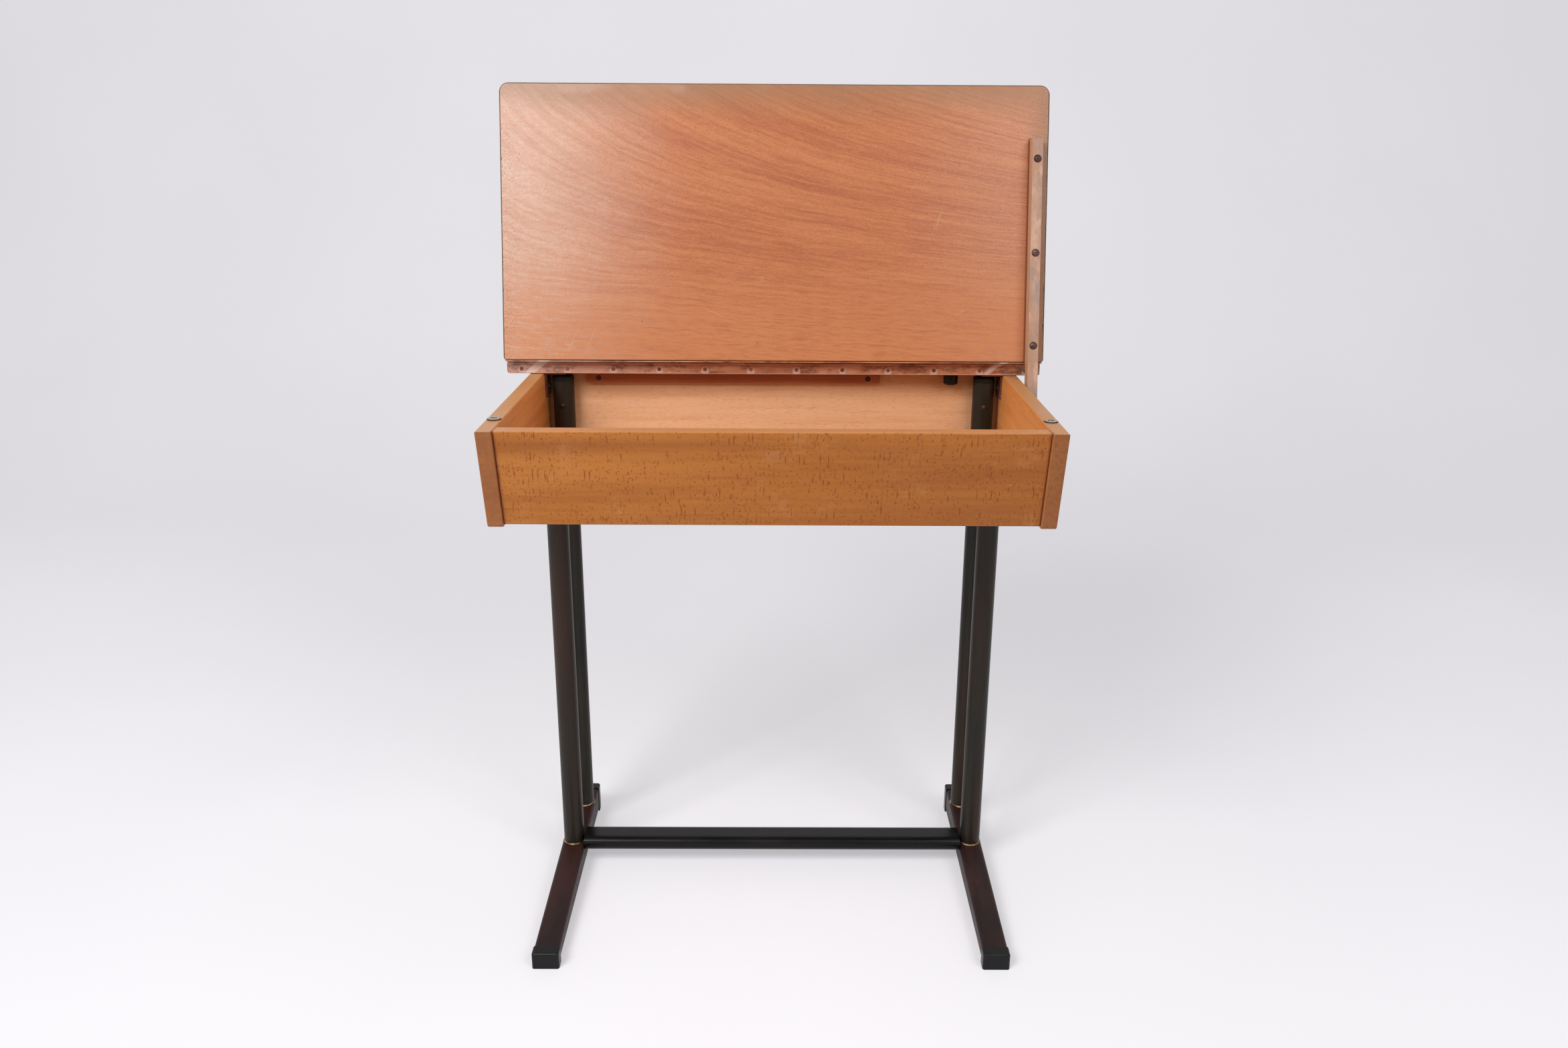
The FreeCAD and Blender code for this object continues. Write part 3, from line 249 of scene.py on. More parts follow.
def plywood_material(name, turn, seed, tones, sheen_width, rim_width):
    """Varnished okoume plywood: a sweeping figure, fine pores, worn rims, a dark stained edge.

    Drawn on the board's own axes: across it, along it from the hinge line, and through it.
    """
    graph = Graph(name)
    across, along, thick = graph.axes(graph.place(turn, (0, HINGE_Y, HINGE_Z)))
    leaf = graph.calc("MULTIPLY_ADD", thick, 200.0, seed)
    light, middle, deep, pore, worn, pale_wear_and_sheen = tones

    from_left = graph.calc("ADD", across, HALF_TOP)
    level = figure_level(graph, across, along, leaf, from_left)

    def streaks(per_run, per_level, detail, roughness):
        return graph.noise(graph.vector(graph.times(across, per_run),
                                        graph.times(level, per_level), leaf),
                           1.0, detail, roughness)

    bands = streaks(2.0, 30.0, 4.0, 0.55)
    strands = streaks(7.0, 210.0, 3.0, 0.6)
    threads = streaks(40.0, 420.0, 3.0, 0.65)
    pores = streaks(120.0, 800.0, 2.0, 0.6)
    stipple = graph.noise(graph.vector(across, graph.times(along, 1.6), leaf), 420.0, 3.0, 0.7)
    cloud = graph.noise(graph.vector(across, along, leaf), 5.0, 4.0, 0.6)

    colour = graph.ramp(bands, (0.22, deep), (0.5, middle), (0.78, light))
    colour = graph.layers(colour, (
        (cloud, 0.42, 0.62, 0.6, middle),
        (strands, 0.5, 0.66, 0.5, light), (strands, 0.5, 0.34, 0.6, deep),
        (threads, 0.52, 0.68, 0.4, light), (threads, 0.48, 0.3, 0.3, pore),
        (pores, 0.45, 0.3, 0.3, pore), (pores, 0.56, 0.7, 0.25, light),
        (stipple, 0.48, 0.32, 0.6, deep), (stipple, 0.52, 0.68, 0.42, light)))

    # a painted sheen makes the lid paler towards the left and a little to the right; it is also
    # paler near the hinge
    ragged = graph.noise(graph.vector(across, along, seed), 14.0, 6.0, 0.7)
    fade = graph.calc("MULTIPLY_ADD", ragged, -0.12, from_left)
    brushed = graph.noise(graph.vector(graph.times(across, 60.0), graph.times(along, 240.0), seed),
                          1.0, 4.0, 0.7)
    sheen = graph.calc("ADD", graph.span(fade, sheen_width, -0.08),
                      graph.span(across, 0.1, HALF_TOP, 0.0, 0.25))
    sheen = graph.times(sheen, graph.span(brushed, 0.3, 0.65, 0.75, 1.0))
    sheen_tone = graph.blend(graph.span(strands, 0.36, 0.6, 0.72, 1.0), middle, pale_wear_and_sheen)
    sheen_tone = graph.blend(graph.span(stipple, 0.4, 0.62, 0.35, 0.0), sheen_tone, light)
    colour = graph.blend(sheen, colour, sheen_tone)
    colour = graph.blend(graph.times(graph.span(along, 0.17, 0.02, 0.0, 0.8),
                                     graph.span(threads, 0.36, 0.6, 0.4, 1.0)), colour, light)

    # greyed by hands along the front rim and the right side, and rubbed bare in places there
    rim = graph.calc("SUBTRACT", LID_DEPTH, along)
    right = graph.calc("SUBTRACT", HALF_TOP, across)
    side = graph.calc("MINIMUM", right, from_left)
    nearest = graph.calc("MINIMUM", rim, graph.times(right, 1.6))
    near = graph.calc("MULTIPLY_ADD", graph.calc("SUBTRACT", ragged, 0.5), -0.05, nearest)
    colour = graph.layers(colour, ((near, rim_width, 0.0, 0.75, worn),))
    bare = graph.calc("MULTIPLY_ADD", ragged, -0.03, rim)
    bare = graph.times(graph.span(bare, 0.004, -0.008, 0.0, 0.35), graph.span(cloud, 0.45, 0.6))
    colour = graph.blend(bare, colour, pale_wear_and_sheen)
    grime = graph.noise(graph.vector(across, along, seed + 4.0), 520.0, 2.0, 0.6)
    outer = graph.calc("MINIMUM", near, graph.calc("MULTIPLY_ADD", ragged, -0.03, side))
    rim_dirt_and_bar_shadow = graph.times(graph.span(grime, 0.56, 0.66), graph.span(outer, 0.02, -0.012, 0.04, 0.7))
    colour = graph.blend(rim_dirt_and_bar_shadow, colour, RIM_DIRT)
    specks = marks(graph, across, along, (0.03, 0.03), (0.0018, 0.0026), seed, 0.4)
    colour = graph.blend(graph.times(specks, 0.5), colour, SPECK)
    scratched = scratches(graph, across, along, seed, (8, -24, 67), 0.09)
    colour = graph.blend(graph.times(scratched, 0.18), colour, pale_wear_and_sheen)

    # the stained edge with its plies, which shows in small chips and round the corners too
    upward = graph.axes(graph.facing(turn))[2]
    share = graph.calc("ABSOLUTE", upward)
    chips = graph.noise(graph.vector(across, along, seed + 9.0), 45.0, 3.0, 0.6)
    chipped = graph.span(graph.calc("MULTIPLY_ADD", chips, -0.016,
                                    graph.calc("MINIMUM", rim, side)), -0.007, -0.0085)
    edge = graph.calc("MAXIMUM", graph.span(share, 0.97, 0.8), chipped)
    inset = graph.length(graph.vector(
        graph.calc("MAXIMUM", graph.calc("SUBTRACT", CORNER_RADIUS, rim), 0.0),
        graph.calc("MAXIMUM", graph.calc("SUBTRACT", CORNER_RADIUS, side), 0.0), 0.0))
    edge = graph.calc("MAXIMUM", edge, graph.span(inset, CORNER_RADIUS - 0.0022,
                                                  CORNER_RADIUS - 0.0012))
    ply = graph.calc("SINE", graph.times(thick, 2 * math.pi / (BOARD / PLIES)))
    edge_grain = graph.noise(graph.scaled(graph.place(), (60.0, 60.0, 60.0)), 1.0, 4.0, 0.7)
    stain = graph.ramp(graph.calc("MULTIPLY_ADD", ply, 0.1, edge_grain), *EDGE_STAIN)
    colour = graph.blend(edge, colour, stain)

    if sheen_width:
        # painted contact shadow beside the stop bar's left face, on the lid's inner face
        gap = graph.calc("ABSOLUTE", graph.calc("SUBTRACT", across, BAR_SIDE))
        rim_dirt_and_bar_shadow = graph.times(graph.span(gap, 0.0036, 0.0008),
                           graph.span(along, BAR_TOP - 0.004, BAR_TOP - 0.006))
        rim_dirt_and_bar_shadow = graph.times(rim_dirt_and_bar_shadow, graph.span(upward, 0.5, 0.9))
        colour = graph.blend(graph.times(rim_dirt_and_bar_shadow, 0.85), colour, BAR_CONTACT_SHADOW)

    roughness = graph.span(cloud, 0.35, 0.65, 0.38, 0.5)
    relief = graph.bump(threads, 0.0001, 0.5)
    relief = graph.bump(stipple, 0.0001, 0.5, relief)
    relief = graph.bump(edge_grain, 0.0003, 0.1, relief)
    return graph.finish(colour, roughness, relief, Specular_IOR_Level=0.4, Coat_Weight=0.25,
                        Coat_Roughness=0.3)


RIM_DIRT = paint(112, 72, 52)
SPECK = paint(96, 58, 40)
# the tone of the painted contact shadow beside the stop bar
BAR_CONTACT_SHADOW = paint(100, 36, 18)
EDGE_STAIN = ((0.3, paint(44, 32, 26)), (0.55, paint(68, 50, 38)), (0.75, paint(104, 78, 56)))

# light, middle, deep, pore, worn and pale tones; the pale tone serves rubbed-bare wear, scratches
# and the painted sheen
OKOUME = (paint(194, 121, 70), paint(177, 101, 54), paint(156, 78, 40), paint(124, 60, 33),
          paint(148, 106, 72), paint(208, 176, 158))
OKOUME_RAIL = (paint(186, 118, 72), paint(168, 100, 56), paint(150, 82, 42), paint(110, 56, 32),
               paint(150, 108, 74), paint(186, 136, 100))


def beech_material(name, grain_axis, tones, seed, flecks=(), joint_shade_reach=0.0, inner_painted_light=0.0,
                   painted_side_light=None, rear=0.0):
    """Varnished beech, straight grained along an axis, with rays where it is cut so.

    flecks has a row for each kind of ray: its cell, size, share, strength, and how it keeps to
    bands of the panel. joint_shade_reach is half the length of a panel with dark ends at its
    neighbours, a dark joint line widened with painted shade of the gap. inner_painted_light is the
    share by which a face that looks to the middle of the desk is brightened, as painted light.
    painted_side_light is a paler tone painted as light on the faces to left and right of a piece
    that is smudged all over, and rear is how much a face to the rear has darkened.
    """
    graph = Graph(name)
    place = graph.place()
    axes = dict(zip("xyz", graph.axes(place)))
    along = axes.pop(grain_axis)
    first, second = axes.values()
    light, middle, deep, fleck, worn, grain_end = tones
    wander = graph.noise(graph.scaled(place, (3.0, 3.0, 3.0)), 1.0, 2.0)

    def streaks(per_run, per_side, detail, roughness):
        bend = graph.times(wander, 0.012 * per_side)
        return graph.noise(graph.vector(
            graph.times(along, per_run), graph.calc("MULTIPLY_ADD", first, per_side, bend),
            graph.calc("ADD", graph.calc("MULTIPLY_ADD", second, per_side, seed), bend)),
            1.0, detail, roughness)

    bands = streaks(1.2, 22.0, 3.0, 0.5)
    strands = streaks(7.0, 170.0, 4.0, 0.6)
    pores = streaks(120.0, 1000.0, 2.0, 0.5)
    cloud = graph.noise(graph.scaled(place, (7.0, 7.0, 7.0)), 1.0, 4.0, 0.6)

    colour = graph.ramp(bands, (0.3, deep), (0.5, middle), (0.7, light))
    colour = graph.layers(colour, (
        (cloud, 0.42, 0.62, 0.6, middle), (strands, 0.5, 0.7, 0.3, light),
        (strands, 0.5, 0.3, 0.35, deep), (pores, 0.42, 0.26, 0.4, fleck)))
    for count, (cell, size, share, strength, low, high) in enumerate(flecks):
        rows = graph.noise(graph.vector(graph.times(along, 14.0), count * 5.0 + seed,
                                        graph.times(second, 34.0)), 1.0, 3.0, 0.6)
        rays = marks(graph, along, second, cell, size, seed + 3.0 * count, share)
        rays = graph.times(rays, graph.span(rows, low, high, 0.0, strength))
        colour = graph.blend(rays, colour, fleck)

    # painted light: side faces inside the box, behind the sloping front panel, are brightened
    normals = dict(zip("xyz", graph.axes(graph.facing())))
    sideways, setback, height = graph.axes(place)
    inward = graph.times(normals["x"], sideways)
    if inner_painted_light:
        inside = graph.span(inward, -0.1, -0.25, 0.0, inner_painted_light)
        leaned = graph.calc("MULTIPLY_ADD", graph.calc("SUBTRACT", height, RIM_HEIGHT),
                            FRONT_SLANT, setback)
        behind = graph.span(leaned, PANEL_FRONT + 0.006, PANEL_FRONT + 0.008)
        inside = graph.times(inside, behind)
        colour = graph.blend(inside, colour, graph.scaled(colour, (1.5, 1.85, 2.3)))

    # end grain is darker, and the front has darkened towards the right
    end = graph.span(graph.calc("ABSOLUTE", normals[grain_axis]), 0.5, 0.8)
    end_grain = graph.noise(graph.scaled(place, (260.0, 260.0, 260.0)), 1.0, 3.0, 0.6)
    colour = graph.blend(graph.times(end, graph.span(end_grain, 0.25, 0.6, 0.95, 0.6)),
                         colour, grain_end)
    aged = graph.times(graph.span(normals["y"], -0.5, -0.9),
                       graph.span(sideways, -0.3, 0.36, 0.0, 0.5))
    colour = graph.blend(aged, colour, graph.scaled(colour, (0.72, 0.62, 0.5)))

    # the upper rims are rubbed pale, partly wear and partly painted light from above on upward
    # faces, and hands have left scratches and grey smudges
    smudge = graph.noise(graph.scaled(place, (20.0, 20.0, 20.0)), 1.0, 5.0, 0.72)
    grime = graph.noise(graph.scaled(place, (34.0, 34.0, 90.0)), 1.0, 5.0, 0.75, 0.6)
    colour = graph.layers(colour, (
        (normals["z"], 0.6, 0.95, 0.75, worn), (smudge, 0.56, 0.76, 0.22, worn),
        (grime, 0.6, 0.8, 0.35, PANEL_DIRT)))
    scratched = scratches(graph, along, second, seed, (4, -12), 0.1)
    colour = graph.blend(graph.times(scratched, 0.25), colour, worn)

    # a face to the rear has darkened, and the stop bar is smudged, with its left and right faces
    # painted paler as painted light
    if rear:
        colour = graph.blend(graph.span(normals["y"], 0.5, 0.9, 0.0, rear), colour,
                             graph.scaled(colour, (0.78, 0.62, 0.42)))
    if painted_side_light:
        patch = graph.noise(graph.scaled(place, (70.0, 70.0, 24.0)), 1.0, 4.0, 0.65)
        aside = graph.calc("ABSOLUTE", normals["x"])
        colour = graph.layers(colour, (
            (patch, 0.5, 0.62, 0.7, worn), (patch, 0.46, 0.34, 0.45, light),
            (aside, 0.25, 0.7, 0.85, painted_side_light)))

    # the joints where the panels meet: on the side panels, the faces in front of the recessed
    # front panel are darkened as painted shade; on the front panel, the dark joint lines at its
    # ends are widened with painted shade of the gap
    if inner_painted_light:
        joint = graph.times(graph.span(inward, -0.03, -0.12),
                            graph.calc("SUBTRACT", 1.0, behind))
        colour = graph.blend(graph.times(joint, 0.7), colour, SIDE_JOINT_SHADE)
    if joint_shade_reach:
        reach = graph.calc("SUBTRACT", joint_shade_reach, graph.calc("ABSOLUTE", along))
        ragged = graph.calc("MULTIPLY_ADD", smudge, -0.0016, reach)
        colour = graph.layers(colour, ((ragged, 0.0026, 0.0004, 0.7, FRONT_JOINT_SHADE),))

    roughness = graph.span(cloud, 0.35, 0.65, 0.36, 0.48)
    relief = graph.bump(strands, 0.0001, 0.4)
    relief = graph.bump(pores, 0.00008, 0.4, relief)
    return graph.finish(colour, roughness, relief, Specular_IOR_Level=0.33, Coat_Weight=0.08,
                        Coat_Roughness=0.3)


PANEL_DIRT = paint(112, 84, 66)
# tones of the joints, darkened with painted shade of the gap where the panels meet
SIDE_JOINT_SHADE = paint(164, 98, 50)
FRONT_JOINT_SHADE = paint(122, 58, 26)

# light, middle, deep, fleck, worn and end-grain tones
BEECH_FRONT = (paint(193, 121, 46), paint(176, 104, 35), paint(152, 82, 20), paint(142, 68, 3),
               paint(206, 146, 98), paint(120, 64, 30))
BEECH_SIDE = (paint(204, 134, 72), paint(188, 114, 54), paint(160, 88, 38), paint(132, 70, 30),
              paint(200, 146, 94), paint(140, 84, 42))
BEECH_BACK = (paint(230, 186, 148), paint(219, 171, 131), paint(200, 148, 106),
              paint(176, 116, 74), paint(222, 168, 124), paint(170, 110, 70))
# the batten's tones are the back panel's beech darkened as painted shade, for the shadow under the
# rail
BEECH_BATTEN_SHADED = (paint(188, 116, 72), paint(167, 94, 54), paint(148, 75, 39),
                paint(130, 66, 36), paint(196, 140, 96), paint(150, 92, 56))
BEECH_STOP = (paint(208, 172, 152), paint(184, 143, 121), paint(164, 118, 92),
              paint(112, 80, 58), paint(142, 128, 124), paint(168, 130, 96))

# cell, size, share, strength, and the band noise where they fade out and are full
FRONT_FLECKS = (((0.0055, 0.0220), (0.0017, 0.0150), 0.6, 1.0, 0.45, 0.52),
                ((0.0052, 0.0085), (0.0018, 0.0056), 0.55, 0.95, 0.42, 0.55),
                ((0.0050, 0.0046), (0.0019, 0.0027), 0.55, 0.9, 0.36, 0.5))
BACK_FLECKS = (((0.010, 0.0026), (0.008, 0.0009), 0.8, 0.4, 0.3, 0.5),)


# ------------------------------------------------------------------------ metal and plastic

def metal_material(name, tones, metallic, rough, seed=0.0, stretch=(1.0, 1.0, 1.0), rust=0.0,
                   grain=0.0001, gloss=0.5):
    """Painted or plated steel, or plastic, with blotches, rust or rubbed spots, and specks.

    tones are dark, middle, light and rusty. rough is the least roughness, stretch the factors
    of the blotches on each axis, rust the share of the rusty tone, grain the height of the
    specks in metres, and gloss the specular level.
    """
    graph = Graph(name)
    place = graph.place(0.0, (seed, 0, 0))
    long_place = graph.scaled(place, stretch)
    blotch = graph.noise(long_place, 38.0, 6.0, 0.65)
    patch = graph.noise(long_place, 11.0, 4.0, 0.6, 0.4)
    speck = graph.noise(place, 420.0, 3.0, 0.6)
    dark, middle, light, rusty = tones
    colour = graph.ramp(blotch, (0.34, dark), (0.5, middle), (0.68, light))
    colour = graph.layers(colour, ((patch, 0.46, 0.66, rust, rusty),
                                   (speck, 0.6, 0.75, 0.35, light)))
    roughness = graph.span(blotch, 0.3, 0.7, rough, rough + 0.14)
    relief = graph.bump(speck, grain, 0.3)
    relief = graph.bump(blotch, grain * 4, 0.3, relief)
    return graph.finish(colour, roughness, relief, Metallic=metallic, Specular_IOR_Level=gloss)


def leaf_material():
    """The copper-brown leaf of the piano hinge: stained ends, pale rims round its screws."""
    graph = Graph("hinge_leaf_look")
    place = graph.place()
    across, _, height = graph.axes(place)
    low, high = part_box("rail_hinge_leaf")
    blotch = graph.noise(graph.scaled(place, (14.0, 60.0, 60.0)), 1.0, 5.0, 0.65)
    streak = graph.noise(graph.scaled(place, (5.0, 120.0, 120.0)), 1.0, 3.0, 0.6)
    cloud = graph.noise(graph.scaled(place, (3.5, 1.0, 1.0)), 1.0, 3.0, 0.6)
    stain = graph.noise(graph.scaled(place, (26.0, 60.0, 60.0)), 1.0, 5.0, 0.72)
    colour = graph.ramp(blotch, *LEAF)
    colour = graph.layers(colour, (
        (cloud, 0.5, 0.64, 0.5, LEAF_DULL), (streak, 0.55, 0.75, 0.4, LEAF_STREAK),
        (across, -0.06, low.x + 0.05, 0.65, LEAF_FADED), (stain, 0.5, 0.64, 0.75, LEAF_STAIN)))

    # blue-grey spots and slanted smears at the ends
    aside = graph.calc("ABSOLUTE", across)
    end = graph.span(aside, high.x - 0.09, high.x - 0.045)
    spots = marks(graph, across, height, (0.012, 0.012), (0.010, 0.009), 4.4, 0.5, 0.7)
    colour = graph.blend(graph.times(end, graph.times(spots, 0.85)), colour, LEAF_SPOT)
    slant = graph.calc("MULTIPLY_ADD", height, -1.2, across)
    smear = graph.noise(graph.vector(graph.times(slant, 30.0), 0.0, 2.0), 1.0, 1.0)
    pale = graph.times(graph.span(smear, 0.54, 0.6),
                       graph.span(aside, high.x - 0.09, high.x - 0.06))
    colour = graph.blend(graph.times(pale, 0.7), colour, LEAF_SMEAR)

    # a pale rim round each screw, ragged and heavier below it, and a painted highlight along the
    # lower edge
    row = graph.calc("PINGPONG", graph.calc("ADD", across, SCREW_PITCH / 2), SCREW_PITCH / 2)
    beside = graph.calc("SUBTRACT", height, SCREW_HEIGHT)
    gap = graph.length(graph.vector(row, beside, 0.0))
    ragged = graph.calc("MULTIPLY_ADD", blotch, 0.006, gap)
    ragged = graph.calc("MULTIPLY_ADD", beside, 0.5, ragged)
    halo = graph.times(graph.span(ragged, 0.0084, 0.0058), graph.span(gap, 0.0024, 0.003))
    colour = graph.blend(graph.times(halo, 0.6), colour, LEAF_HALO)
    rim = graph.calc("SUBTRACT", height, low.z)
    colour = graph.layers(colour, ((rim, 0.0013, 0.0005, 0.6, LEAF_EDGE_HIGHLIGHT),))

    roughness = graph.span(blotch, 0.3, 0.7, 0.4, 0.58)
    relief = graph.bump(halo, 0.0004, 0.5)
    relief = graph.bump(blotch, 0.0003, 0.4, relief)
    return graph.finish(colour, roughness, relief, Metallic=0.25)


LEAF = ((0.3, paint(140, 78, 50)), (0.5, paint(182, 116, 80)), (0.72, paint(216, 156, 120)))
LEAF_DULL = paint(152, 88, 60)
LEAF_STREAK = paint(212, 168, 140)
LEAF_FADED = paint(210, 168, 152)
LEAF_STAIN = paint(110, 56, 40)
LEAF_SPOT = paint(128, 122, 134)
LEAF_SMEAR = paint(236, 212, 198)
LEAF_HALO = paint(222, 186, 168)
# the painted highlight along the leaf's lower edge
LEAF_EDGE_HIGHLIGHT = paint(206, 164, 138)


def bumper_material():
    """The plated discs: a bright worn top, an outer rim darkened as painted shade, and a darker
    recess.
    """
    graph = Graph("bumper_look")
    place = graph.place()
    height = graph.axes(place)[2]
    low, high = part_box("lid_bumpers")
    # painted shade: each disc's outer rim below its top is dark, and only the top keeps the plated
    # tone
    worn = graph.span(height, low.z + 0.6 * (high.z - low.z), low.z + 0.95 * (high.z - low.z))
    blotch = graph.noise(graph.scaled(place, (300.0, 300.0, 300.0)), 1.0, 4.0, 0.6)
    top = graph.ramp(blotch, *BUMPER_TOP)
    colour = graph.blend(worn, BUMPER_RIM_SHADE, top)
    up = graph.axes(graph.facing())[2]
    flat = graph.times(graph.span(up, 0.9, 0.99),
                       graph.span(height, high.z - 0.0002, high.z - 0.0006))
    colour = graph.blend(graph.times(flat, 0.8), colour, BUMPER_RECESS)
    relief = graph.bump(blotch, 0.0001, 0.4)
    return graph.finish(colour, 0.34, relief, Metallic=0.75)


BUMPER_TOP = ((0.3, paint(148, 138, 130)), (0.6, paint(196, 186, 180)))
# the painted shade on the discs' outer rims
BUMPER_RIM_SHADE = paint(44, 30, 28)
BUMPER_RECESS = paint(66, 54, 48)


# ------------------------------------------------------------------------------ the pieces

def dress_wood():
    """Gives the boards, panels, batten, stop bar and peg their woods."""
    lid = plywood_material("lid_plywood_look", LID_LEAN - math.pi / 2, 1.0, OKOUME, 0.2, 0.055)
    dress(lid, "lid_panel")
    dress(plywood_material("rail_plywood_look", 0.0, 7.0, OKOUME_RAIL, 0.0, 0.004), "rear_rail")
    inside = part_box("front_panel")[1].x
    # the front panel's dark ends carry painted shade of the gaps at its joints
    dress(beech_material("front_beech_look", "x", BEECH_FRONT, 2.0, FRONT_FLECKS, joint_shade_reach=inside),
          "front_panel")
    # the inward faces of the side panels are brightened as painted light
    dress(beech_material("side_beech_look", "y", BEECH_SIDE, 5.0, inner_painted_light=1.0),
          "side_panel_left", "side_panel_right")
    dress(beech_material("back_beech_look", "x", BEECH_BACK, 9.0, BACK_FLECKS, rear=0.8),
          "back_panel")
    # the batten gets the darker tones, painted shade under the rail
    dress(beech_material("batten_shaded_beech_look", "x", BEECH_BATTEN_SHADED, 9.0), "rail_batten")
    dress(beech_material("floor_look", "x", BEECH_BACK, 12.0), "floor_panel")
    # the stop bar's left and right faces get a paler tone as painted light
    dress(beech_material("stop_beech_look", "z", BEECH_STOP, 15.0, painted_side_light=paint(206, 160, 118)),
          "lid_stop_bar", "stop_peg")


def dress_metal():
    """Gives the hinge, fasteners, brackets and frame their metals, and the caps their plastic."""
    dress(leaf_material(), "rail_hinge_leaf", "lid_hinge_leaf", "hinge_pin")
    copper = (paint(98, 52, 40), paint(136, 80, 62), paint(184, 132, 112), paint(104, 58, 44))
    dress(metal_material("hinge_screw_look", copper, 0.4, 0.45), "rail_hinge_screws",
          "lid_hinge_screws")
    bronze = (paint(62, 42, 38), paint(86, 60, 54), paint(136, 106, 94), paint(96, 60, 48))
    dress(metal_material("bronze_screw_look", bronze, 0.6, 0.36, rust=0.4),
          "stop_bar_screws")
    rusty = (paint(34, 24, 22), paint(56, 38, 32), paint(90, 66, 54), paint(80, 42, 28))
    dress(metal_material("dark_screw_look", rusty, 0.5, 0.45, seed=1.0, rust=0.5),
          "batten_screws", "bracket_screws", "rail_screws", "frame_bolts")
    steel = (paint(84, 78, 74), paint(118, 110, 104), paint(158, 150, 142), paint(92, 66, 50))
    dress(metal_material("plated_steel_look", steel, 0.9, 0.34, seed=2.0, rust=0.3),
          "frame_washers", "frame_nuts", "seat_plate_screws")
    dress(bumper_material(), "lid_bumpers")
    tarnished = (paint(84, 74, 68), paint(112, 100, 92), paint(160, 150, 144), paint(70, 54, 46))
    dress(metal_material("bumper_screw_look", tarnished, 0.8, 0.3, seed=3.0, rust=0.4),
          "bumper_screws")
    bracket = (paint(62, 34, 26), paint(92, 52, 38), paint(122, 78, 60), paint(112, 62, 42))
    dress(metal_material("bracket_look", bracket, 0.1, 0.42, seed=4.0, rust=0.5),
          "angle_bracket_left", "angle_bracket_right")
    enamel = (paint(28, 26, 21), paint(39, 36, 30), paint(52, 46, 39), paint(66, 38, 28))
    dress(metal_material("tube_look", enamel, 0.0, 0.3, seed=5.0, stretch=(1.0, 1.0, 0.12),
                         rust=0.5, gloss=0.2),
          "front_tube_left", "front_tube_right", "rear_tube_left", "rear_tube_right",
          "seat_plate_left", "seat_plate_right")
    black = (paint(8, 8, 8), paint(12, 11, 11), paint(20, 18, 18), paint(30, 20, 18))
    dress(metal_material("crossbar_look", black, 0.0, 0.14, seed=6.0, stretch=(0.2, 1.0, 1.0),
                         rust=0.3, gloss=0.2),
          "crossbar")
    foot = (paint(28, 15, 15), paint(40, 22, 21), paint(56, 35, 32), paint(68, 37, 30))
    dress(metal_material("foot_look", foot, 0.0, 0.4, seed=7.0, stretch=(1.0, 0.25, 1.0),
                         rust=0.45, gloss=0.2),
          "foot_left", "foot_right")
    braze = (paint(60, 46, 30), paint(118, 96, 64), paint(196, 174, 136), paint(90, 52, 32))
    dress(metal_material("braze_look", braze, 0.7, 0.36, seed=8.0, stretch=(3, 3, 3), rust=0.35,
                         grain=0.0006),
          "weld_beads")
    plastic = (paint(12, 12, 13), paint(17, 17, 18), paint(26, 26, 27), paint(38, 34, 32))
    dress(metal_material("plastic_look", plastic, 0.0, 0.26, seed=9.0, rust=0.2, gloss=0.22),
          *[name for name in nodes if "cap" in name], "pen_hole_plug")


# ------------------------------------------------------------------- floor, light and camera

# The backdrop, in metres: its size, where its wall begins behind the desk, and the bend's radius.
FLOOR_SIZE = 12.0
WALL_PLACE = 1.6
WALL_BEND = 1.2
BEND_STEPS = 24

# The backdrop's glow and the world's strength where they are seen, and the world's as a light.
STAGE_GLOW = 0.38
STAGE_GLOW_TONE = (0.97, 0.96, 1.0, 1)
WORLD_SEEN = 0.72
WORLD_LIGHT = 0.3


def stage_material():
    """Near-white paint, which looks a little brighter than it lights the desk."""
    graph = Graph("backdrop_look")
    mottle = graph.noise(graph.place(), 1.5, 2.0)
    colour = graph.ramp(mottle, (0.3, paint(204, 202, 205)), (0.7, paint(209, 207, 210)))
    return graph.finish(colour, 0.7, Emission_Color=STAGE_GLOW_TONE,
                        Emission_Strength=graph.times(graph.seen(), STAGE_GLOW))


def make_stage():
    """A pale floor that bends up into a backdrop."""
    outline = [(-FLOOR_SIZE / 2, 0.0), (WALL_PLACE, 0.0)]
    outline += [(WALL_PLACE + WALL_BEND * math.sin(turn), WALL_BEND * (1 - math.cos(turn)))
                for turn in (math.pi / 2 * step / BEND_STEPS for step in range(1, BEND_STEPS + 1))]
    outline.append((WALL_PLACE + WALL_BEND, FLOOR_SIZE / 2))
    points = [(side * FLOOR_SIZE / 2, y, z) for y, z in outline for side in (-1, 1)]
    faces = [(row, row + 1, row + 3, row + 2) for row in range(0, len(points) - 2, 2)]
    mesh = bpy.data.meshes.new("backdrop")
    mesh.from_pydata(points, [], faces)
    for face in mesh.polygons:
        face.use_smooth = True
    backdrop = bpy.data.objects.new("backdrop", mesh)
    bpy.context.scene.collection.objects.link(backdrop)
    mesh.materials.append(stage_material())


def area_light(name, place, target, size, power):
    """A soft square lamp of a size in metres and a power in watts, aimed at a target."""
    data = bpy.data.lights.new(name, "AREA")
    data.size = size
    data.energy = power
    light = bpy.data.objects.new(name, data)
    light.location = place
    light.rotation_euler = (Vector(target) - Vector(place)).to_track_quat("-Z", "Y").to_euler()
    bpy.context.scene.collection.objects.link(light)


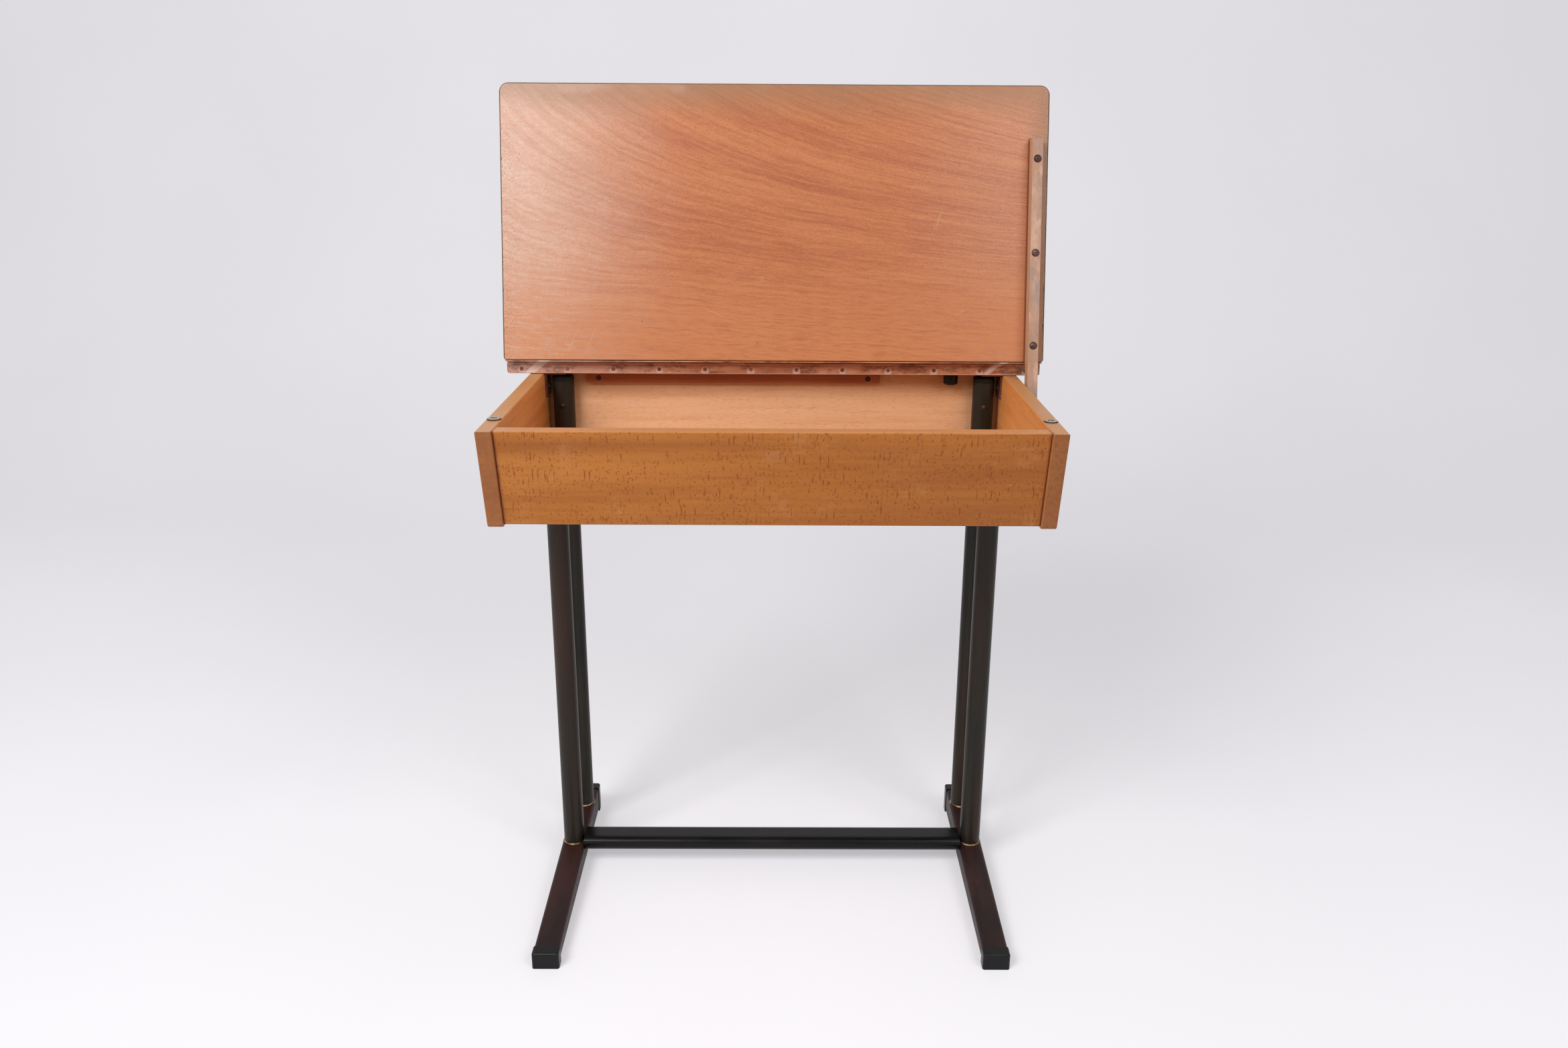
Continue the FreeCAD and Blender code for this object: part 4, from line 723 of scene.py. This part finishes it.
LIGHT_TARGET = (0, 0, 0.6)
LIGHT_SIZE = 1.3
KEY_PLACE = (-1.4, -1.9, 2.4)
KEY_POWER = 64
FILL_PLACE = (1.4, -1.9, 2.4)
FILL_POWER = 28


def make_light():
    """Two soft lamps over the viewer's shoulders, and a plain world."""
    world = bpy.data.worlds.new("studio")
    graph = Graph("studio", world)
    strength = graph.span(graph.seen(), 0.0, 1.0, WORLD_LIGHT, WORLD_SEEN)
    background = graph.add("Background", {"Color": (1, 1, 1, 1), "Strength": strength})
    graph.add("OutputWorld", {"Surface": background.outputs[0]})
    bpy.context.scene.world = world
    area_light("key", KEY_PLACE, LIGHT_TARGET, LIGHT_SIZE, KEY_POWER)
    area_light("fill", FILL_PLACE, LIGHT_TARGET, LIGHT_SIZE, FILL_POWER)


# The camera as fitted to the photograph, in millimetres, metres and radians.
LENS = 28.61
SENSOR = 36.0
CAMERA_PLACE = (0.0048, -1.4952, 1.0092)
CAMERA_PITCH = math.radians(18.17)
CAMERA_YAW = math.radians(0.35)
CAMERA_ROLL = math.radians(-0.34)


def make_camera():
    """The photograph's viewpoint, a little turned and tilted."""
    data = bpy.data.cameras.new("camera")
    data.sensor_fit = "HORIZONTAL"
    data.sensor_width = SENSOR
    data.lens = LENS
    camera = bpy.data.objects.new("camera", data)
    forward = Vector((math.sin(CAMERA_YAW) * math.cos(CAMERA_PITCH),
                      math.cos(CAMERA_YAW) * math.cos(CAMERA_PITCH), -math.sin(CAMERA_PITCH)))
    level = Vector((math.cos(CAMERA_YAW), -math.sin(CAMERA_YAW), 0))
    down = forward.cross(level)
    right = level * math.cos(CAMERA_ROLL) + down * math.sin(CAMERA_ROLL)
    up = level * math.sin(CAMERA_ROLL) - down * math.cos(CAMERA_ROLL)
    turn = Matrix((right, up, -forward)).transposed().to_4x4()
    camera.matrix_world = Matrix.Translation(CAMERA_PLACE) @ turn
    bpy.context.scene.collection.objects.link(camera)
    bpy.context.scene.camera = camera


bpy.context.scene.view_settings.view_transform = "Standard"
dress_wood()
dress_metal()
make_stage()
make_light()
make_camera()
